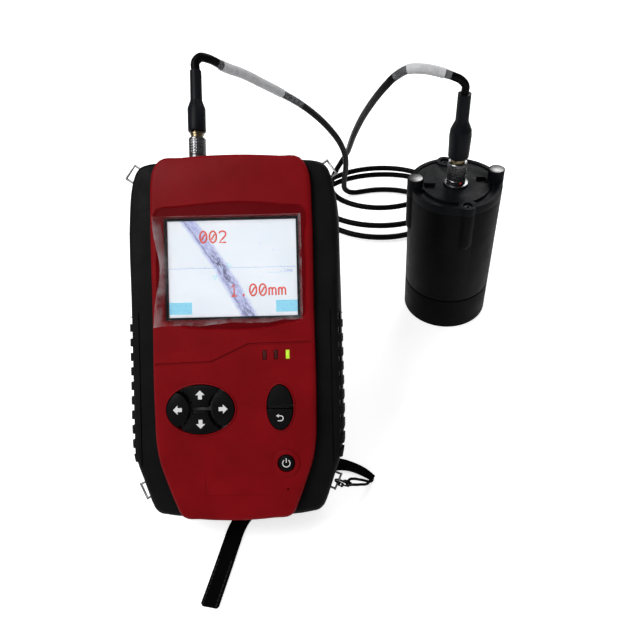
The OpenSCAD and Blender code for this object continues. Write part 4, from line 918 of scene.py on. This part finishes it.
def arc(x, radius, start, end, steps):
    turns = [radians(start + (end - start) * i / steps) for i in range(steps + 1)]
    return [(x + radius * cos(turn), radius * sin(turn)) for turn in turns]


def arcBand(x, radius, width, start, end, steps):
    return arc(x, radius + width / 2, start, end, steps) + arc(x, radius - width / 2, end, start, steps)


def printedMark(loops, x, y, top, name, body, material=markWhite):
    # thin paint, sunk a little into what it is on
    placed = [[(x + px, y + py) for px, py in loop] for loop in loops]
    mark = joinAll([slabFrom(loop, top - marks["sunk"], top + marks["proud"]) for loop in placed])
    placeInReader(mark)
    return finishPiece(mark, name, material, body=body)


for node, dx, dy, turns in (("key_up", 0, marks["arrowY"], 0), ("key_left", -marks["arrowX"], 0, 1),
                            ("key_down", 0, -marks["arrowY"], 2), ("key_right", marks["arrowX"], 0, 3)):
    turn = Matrix.Rotation(radians(90 * turns), 2)
    arrow = [tuple(turn @ Vector(point)) for point in marks["arrow"]]
    printedMark([arrow], pad["x"] + dx, pad["y"] + dy, keyTop, "arrow_" + node[4:], keyBodies[node])
printedMark([arcBand(0.3, 1.35, marks["line"], -90, 90, 14), rectangle(-1.3, 0.35, -1.6, -1.1),
             rectangle(-1.0, 0.35, 1.1, 1.6), [(-0.7, 2.35), (-2.1, 1.35), (-0.7, 0.35)]],
            pair["x"], pair["y"] - marks["returnDrop"], keyTop, "return_arrow", "back_key")
printedMark([arcBand(0, 2.0, marks["line"], 125, 415, 28), rectangle(-0.26, 0.26, 0.3, 2.7)],
            power["x"], power["y"], powerTop, "power_symbol", "power_key")
print("keys ready")

# screen: picture, marks on it, mask and film
pictureTop = screen["pictureTop"]
shadeInk = {"numerals": (0.64, 0.05, 0.018), "button": (0.21, 0.56, 0.72), "cursor": (0.15, 0.6, 0.66),
            "line": (0.37, 0.43, 0.6)}


def pictureFinish():
    # live picture of a wall: pale ground, one soft violet crack with dark streaks that runs down to the right
    material, tree, shader = newMaterial("live picture")
    place = addNode(tree, "TexCoord", {}).outputs["UV"]
    split = addNode(tree, "SeparateXYZ", {0: place}).outputs
    wander = noiseNode(tree, 7.0, 4, 0.6, "UV")
    clouds = noiseNode(tree, 3.0, 3, 0.5, "UV")

    def maths(operation, *values):
        return mathNode(tree, operation, *values)

    def distance(value, middle):
        return maths("ABSOLUTE", maths("SUBTRACT", value, middle))

    def blend(factor, under, over):
        mix = addNode(tree, "Mix", {"Factor": factor, "A": under, "B": over}, data_type="RGBA")
        return mix.outputs["Result"]

    up = split["Y"]
    bend = maths("MULTIPLY_ADD", up, 0.09, 0.375)
    middle = maths("SUBTRACT", 0.622, maths("MULTIPLY", up, bend))
    wave = maths("MULTIPLY", maths("SUBTRACT", wander, 0.5), 0.035)
    across = maths("ADD", maths("SUBTRACT", split["X"], middle), wave)
    band = rangeNode(tree, distance(across, 0), 0.04, 0.078, 1.0, 0.0)
    grain = addNode(tree, "CombineXYZ", {"X": maths("MULTIPLY", across, 44), "Y": maths("MULTIPLY", up, 17)})
    streak = addNode(tree, "TexNoise", {"Vector": grain.outputs[0], "Scale": 1.0, "Detail": 4,
                                        "Roughness": 0.7}).outputs["Fac"]
    aroundMiddle = rangeNode(tree, distance(up, 0.5), 0.1, 0.22, 1.0, 0.0)
    atFoot = rangeNode(tree, up, 0.06, 0.2, 1.0, 0.0)
    inCore = rangeNode(tree, distance(across, 0.008), 0.022, 0.042, 1.0, 0.0)
    beads = rangeNode(tree, streak, 0.4, 0.58, 0.0, 0.9)
    dark = maths("MULTIPLY", maths("MULTIPLY", maths("MAXIMUM", aroundMiddle, atFoot), inCore), beads)
    edgeLine = rangeNode(tree, distance(across, -0.034), 0.002, 0.012, 0.55, 0.0)
    faded = rangeNode(tree, streak, 0.35, 0.55, 0.25, 1.0)
    dark = maths("MAXIMUM", dark, maths("MULTIPLY", edgeLine, faded))
    ground = colourRamp(tree, clouds, (0.3, (0.67, 0.71, 0.76)), (0.7, (0.76, 0.79, 0.83)))
    pale = colourRamp(tree, streak, (0.36, (0.52, 0.56, 0.74)), (0.62, (0.3, 0.31, 0.56)))
    ink = colourRamp(tree, wander, (0.3, (0.03, 0.025, 0.1)), (0.7, (0.08, 0.07, 0.19)))
    result = blend(dark, blend(band, ground, pale), ink)
    feed(shader, {"Base Color": result, "Emission Color": result, "Emission Strength": 0.52,
                  "Roughness": 0.5})
    return material


def buildPicture():
    plate = screenBox(0, screen["pictureLow"], pictureTop)
    bevelTop(plate, pictureTop, 0.1, 2)
    verts = plate.data.vertices
    mapCorners(plate, lambda index: (verts[index].co.x / mm / screen["width"] + 0.5,
                                     (verts[index].co.y / mm - screen["y"]) / screen["height"] + 0.5))
    placeInReader(plate)
    return plate


def ringStroke(cx, cy, rx, ry, count=20):
    return ovalLoop(cx, cy, rx, ry, count) + [(cx + rx, cy)]


# strokes of the numerals in their own cell, 1 wide and 1 high
strokes = {
    "0": [ringStroke(0.5, 0.5, 0.46, 0.5), [(0.27, 0.25), (0.73, 0.75)]],
    "1": [[(0.2, 0.78), (0.52, 1), (0.52, 0)], [(0.15, 0), (0.88, 0)]],
    "2": [[(0.04, 0.8), (0.18, 0.95), (0.5, 1), (0.82, 0.94), (0.96, 0.78), (0.88, 0.58), (0.5, 0.32),
           (0.06, 0), (1, 0)]],
    ".": [[(0.4, 0.01), (0.62, 0.01)], [(0.4, 0.1), (0.62, 0.1)]],
    "m": [[(0.03, 0), (0.03, 0.66)], [(0.03, 0.5), (0.14, 0.64), (0.34, 0.66), (0.48, 0.52), (0.48, 0)],
          [(0.48, 0.5), (0.6, 0.64), (0.82, 0.66), (0.97, 0.5), (0.97, 0)]],
}


def drawnStrokes(lines, width, name, material):
    # thin round-ended lines in mm, pressed flat on the picture
    paths = [[Vector((x, y, 0)) for x, y in line] for line in lines]
    drawn = joinAll([meshTube(path, width / 2, "stroke", sides=2) for path in paths])
    for vertex in drawn.data.vertices:
        vertex.co.z = (pictureTop + (0.06 if vertex.co.z > 0 else -0.02)) * mm
    placeInReader(drawn)
    return finishPiece(drawn, name, material)


def readingLines(words, left, low, pitch, wide, tall):
    return [[(left + index * pitch + x * wide, low + y * tall) for x, y in line]
            for index, letter in enumerate(words) for line in strokes[letter]]


finishPiece(buildPicture(), "live_picture", pictureFinish())
reading = {"pitch": 5.25, "wide": 4.0, "tall": 6.2, "stroke": 0.95, "glow": 0.36,
           "count": ("002", -17.6, 151.3), "width": ("1.00mm", -1.6, 121.9)}
scaleLine = {
    "y": 137.3, "half": 34.6, "first": -28.6, "pitch": 6.84, "ticks": 10, "tick": 0.9, "width": 0.28,
    "glow": 0.45,
    "bracket": [(19.25, 135.3), (19.25, 134.35), (26.4, 134.35), (26.4, 135.3)],
    "unit": ("1mm", 27.8, 134.4, 1.75, 1.3, 2.1),
}
smallMarks = {
    "stroke": 0.34, "speck": 0.16, "specks": [(15.0, 150.1), (22.5, 146.6)], "cursorGlow": 0.42,
    "cursors": [[(-2.9, 137.7), (-2.9, 140.1), (-0.5, 138.7), (-2.9, 137.7)],
                [(-8.6, 133.2), (-10.9, 132.7), (-9.5, 130.9), (-8.6, 133.2)]],
    "buttons": [(-35.0, -22.6, 112.4, 118.9), (23.2, 35.0, 112.8, 119.2)], "buttonRise": 0.03,
    "buttonGlow": 0.48,
}
numeralRed = litFinish("red numerals", shadeInk["numerals"], reading["glow"])
lineGrey = litFinish("scale line", shadeInk["line"], scaleLine["glow"])
for which in ("count", "width"):
    letters = readingLines(*reading[which], reading["pitch"], reading["wide"], reading["tall"])
    drawnStrokes(letters, reading["stroke"], which + "_reading", numeralRed)
lines = [[(-scaleLine["half"], scaleLine["y"]), (scaleLine["half"], scaleLine["y"])]]
for i in range(scaleLine["ticks"]):
    x = scaleLine["first"] + i * scaleLine["pitch"]
    lines.append([(x, scaleLine["y"]), (x, scaleLine["y"] + scaleLine["tick"])])
lines += [scaleLine["bracket"], *readingLines(*scaleLine["unit"])]
drawnStrokes(lines, scaleLine["width"], "scale_line", lineGrey)
drawnStrokes(smallMarks["cursors"], smallMarks["stroke"], "cursors",
             litFinish("pale cursors", shadeInk["cursor"], smallMarks["cursorGlow"]))
specks = [ringStroke(*place, smallMarks["speck"], smallMarks["speck"], 10) for place in smallMarks["specks"]]
drawnStrokes(specks, smallMarks["stroke"], "picture_specks", lineGrey)
buttonCyan = litFinish("cyan buttons", shadeInk["button"], smallMarks["buttonGlow"])
printedMark([rectangle(*button) for button in smallMarks["buttons"]], 0, 0,
            pictureTop + smallMarks["buttonRise"], "screen_buttons", "root", buttonCyan)


def buildMask():
    mask = screenBox(screen["maskRim"], screen["maskLow"], screen["maskTop"])
    combine(mask, screenBox(0, screen["maskLow"] - 1, screen["maskTop"] + 1))
    placeInReader(mask)
    return finishPiece(mask, "window_mask", blackCase)


def filmFinish():
    # thin clear film: nearly unseen where it lies flat, milky along its lifted borders
    material, tree, shader = newMaterial("protective film")
    place = addNode(tree, "TexCoord", {}).outputs["UV"]
    split = addNode(tree, "SeparateXYZ", {0: place}).outputs
    milk = rangeNode(tree, split["X"], 0.0, 0.062, 0.125, 0.0)
    for axis, *border in (("Y", 0, 0.06, 0.075, 0), ("X", 0.975, 1, 0, 0.09), ("Y", 0.988, 1, 0, 0.05)):
        milk = mathNode(tree, "MAXIMUM", milk, rangeNode(tree, split[axis], *border))
    folds = noiseNode(tree, 110, 3, 0.6)
    uneven = rangeNode(tree, folds, 0.38, 0.62, 0.15, 1.7)
    feed(shader, {"Base Color": (0.8, 0.8, 0.84, 1), "Roughness": 0.2, "Specular IOR Level": 0.5,
                  "Alpha": mathNode(tree, "MULTIPLY_ADD", milk, uneven, 0.004)})
    addBump(tree, shader, folds, 0.3, 0.0004)
    return material


film = {
    "left": -42.3, "right": 37.9, "low": 105.6, "top": 165.7, "thickness": 0.09, "gap": 0.05, "seed": 4,
    "waves": 6, "bow": 4.0, "slope": 2.6, "scallop": 0.5, "curl": 0.35, "wander": 0.5,
    "lifts": [(2.1, 0.07), (0.8, 0.04), (0.35, 0.03), (0.3, 0.03)],  # height and reach: left, low, right, top
}


def buildFilm():
    # clear film that has let go along its left and lower edges, most of all at the left
    bpy.ops.mesh.primitive_grid_add(x_subdivisions=84, y_subdivisions=64, size=2)
    sheet = bpy.context.active_object
    rng = random.Random(film["seed"])
    waves = [(rng.uniform(0.12, 0.5), rng.uniform(0, 6.28), rng.uniform(0.5, 1))
             for _ in range(film["waves"])]
    for vertex in sheet.data.vertices:
        u, v = (vertex.co.x + 1) / 2, (vertex.co.y + 1) / 2
        left = film["left"] + film["bow"] * exp(-((v - 0.52) / 0.26) ** 2)
        low = film["low"] + film["slope"] * u + film["scallop"] * sin(5 * pi * u)
        x, y = left + u * (film["right"] - left), low + v * (film["top"] - low)
        ripple = sum(amp * sin(f * (x + 1.3 * y) + phase) for f, phase, amp in waves) / film["waves"]
        fromEdges = zip(film["lifts"], (u, v, 1 - u, 1 - v))
        lift = sum(height * exp(-away / reach) for (height, reach), away in fromEdges)
        curl = film["curl"] * abs(ripple) * (exp(-u / 0.09) + exp(-v / 0.07) + 0.15)
        z = face - frontCover["recessDepth"] + film["gap"] + lift + curl
        vertex.co = (x * mm, (y + film["wander"] * ripple * exp(-v / 0.02)) * mm, z * mm)
    applyModifier(sheet, "SOLIDIFY", thickness=film["thickness"] * mm, offset=1)
    placeInReader(sheet)
    smoothShade(sheet, 60)
    return finishPiece(sheet, "protective_film", filmFinish(), ["screen_film"])


buildMask()
buildFilm()


def buildLamps():
    parts = []
    top = face - lampPlaces["sunk"]
    for x in lampPlaces["xs"]:
        parts.append(lampBox(x, 0, lampPlaces["low"], top))
        bevelTop(parts[-1], top, lampPlaces["edge"])
    unlit = sum(len(part.data.polygons) for part in parts[:2])
    lamps = joinAll(parts)
    placeInReader(lamps)
    smoothShade(lamps, 50)
    finishPiece(lamps, "lamp_windows", lampClear, ["light_pipes"])
    lamps.data.materials.append(lampLit)
    for i, polygon in enumerate(lamps.data.polygons):
        polygon.material_index = 1 if i >= unlit else 0


buildLamps()
print("screen ready")

# CAD shapes kept, with rounded edges
softened = {
    "rear_cover": (0.7, 3, blackCase, "black_plastic"), "battery_door": (0.4, 2, blackCase, "black_plastic"),
    "stand": (0.7, 3, blackCase, "black_plastic"), "probe_shell": (0.45, 3, probePaint, "probe_black"),
    "probe_spacer": (0.45, 3, probePaint, "probe_black"), "probe_lid": (0.4, 3, lidPaint, "probe_black"),
    "post_caps": (0.25, 2, capMetal, "satin_cap"), "lid_screws": (0.25, 2, claspMetal, "screw_steel"),
    "probe_socket": (0.3, 2, platedMetal, "plated_metal"),
    "reader_socket": (0.25, 2, platedMetal, "plated_metal"),
    "case_screws": (0.2, 2, screwSteel, "screw_steel"), "door_screws": (0.2, 2, screwSteel, "screw_steel"),
    "charge_port": (0.15, 2, platedMetal, "plated_metal"), "lanyard_bars": (0, 0, wireMetal, "wire_steel"),
    "foot_ring": (0.2, 2, gripRubber, "grip_rubber"), "clasp_hook": (0, 0, claspMetal, "clasp_metal"),
    "clasp_gate": (0.12, 2, claspMetal, "clasp_metal"),
}
bodyOf = {name: body for body, members in frame["record"]["behaviour"]["bodies"].items() for name in members}
for node, (width, segments, material, slotName) in softened.items():
    copy = softenedCopy(node, "fine_" + node, width, segments)
    finishPiece(copy, "fine_" + node, material, [node], bodyOf[node])

kept = {
    "cover_seal": gripRubber, "lcd_window": screenGlass, "lcd_module": blackCase, "main_board": boardGreen,
    "key_mat": siliconeGrey, "battery_pack": batteryBlue, "buzzer": blackCase, "socket_nut": platedMetal,
    "stand_pin": screwSteel, "camera_board": boardGreen, "lens_barrel": blackCase, "lamp_ring": boardGreen,
    "lamps": lampPale, "foot_glass": screenGlass,
}
for node, material in kept.items():
    slots = cadNodes[node].material_slots
    if slots:
        for place in slots:
            place.material = material
    else:
        cadNodes[node].data.materials.append(material)
print("other pieces ready")

# stitches on the strap
stitching = {"length": 1.7, "width": 0.42, "pitch": 2.6, "side": 3.7, "from": 0.83, "sunk": 0.15,
             "proud": 0.12, "edge": 0.1}


def buildStitches():
    parts = []
    total = pathLength(strapPath)
    along = 0.0
    nextAt = total * stitching["from"]
    for a, b in zip(strapPath, strapPath[1:]):
        step = (b - a).length
        while nextAt < along + step:
            here = a + (b - a) * ((nextAt - along) / step)
            forward = (b - a).normalized()
            side = Vector((forward.y, -forward.x, 0))
            long = forward * stitching["length"] / 2
            wide = side * stitching["width"] / 2
            corners = (-long - wide, long - wide, long + wide, wide - long)
            for s in (-1, 1):
                middle = here + side * stitching["side"] * s
                loop = [(middle + corner).xy for corner in corners]
                parts.append(slabFrom(loop, strap["thickness"] - stitching["sunk"],
                                      strap["thickness"] + stitching["proud"]))
            nextAt += stitching["pitch"]
        along += step
    stitches = joinAll(parts)
    applyModifier(stitches, "BEVEL", width=stitching["edge"] * mm, segments=2)
    smoothShade(stitches, 60)
    return finishPiece(stitches, "strap_stitches", stitchThread)


buildStitches()
print("stitches ready")
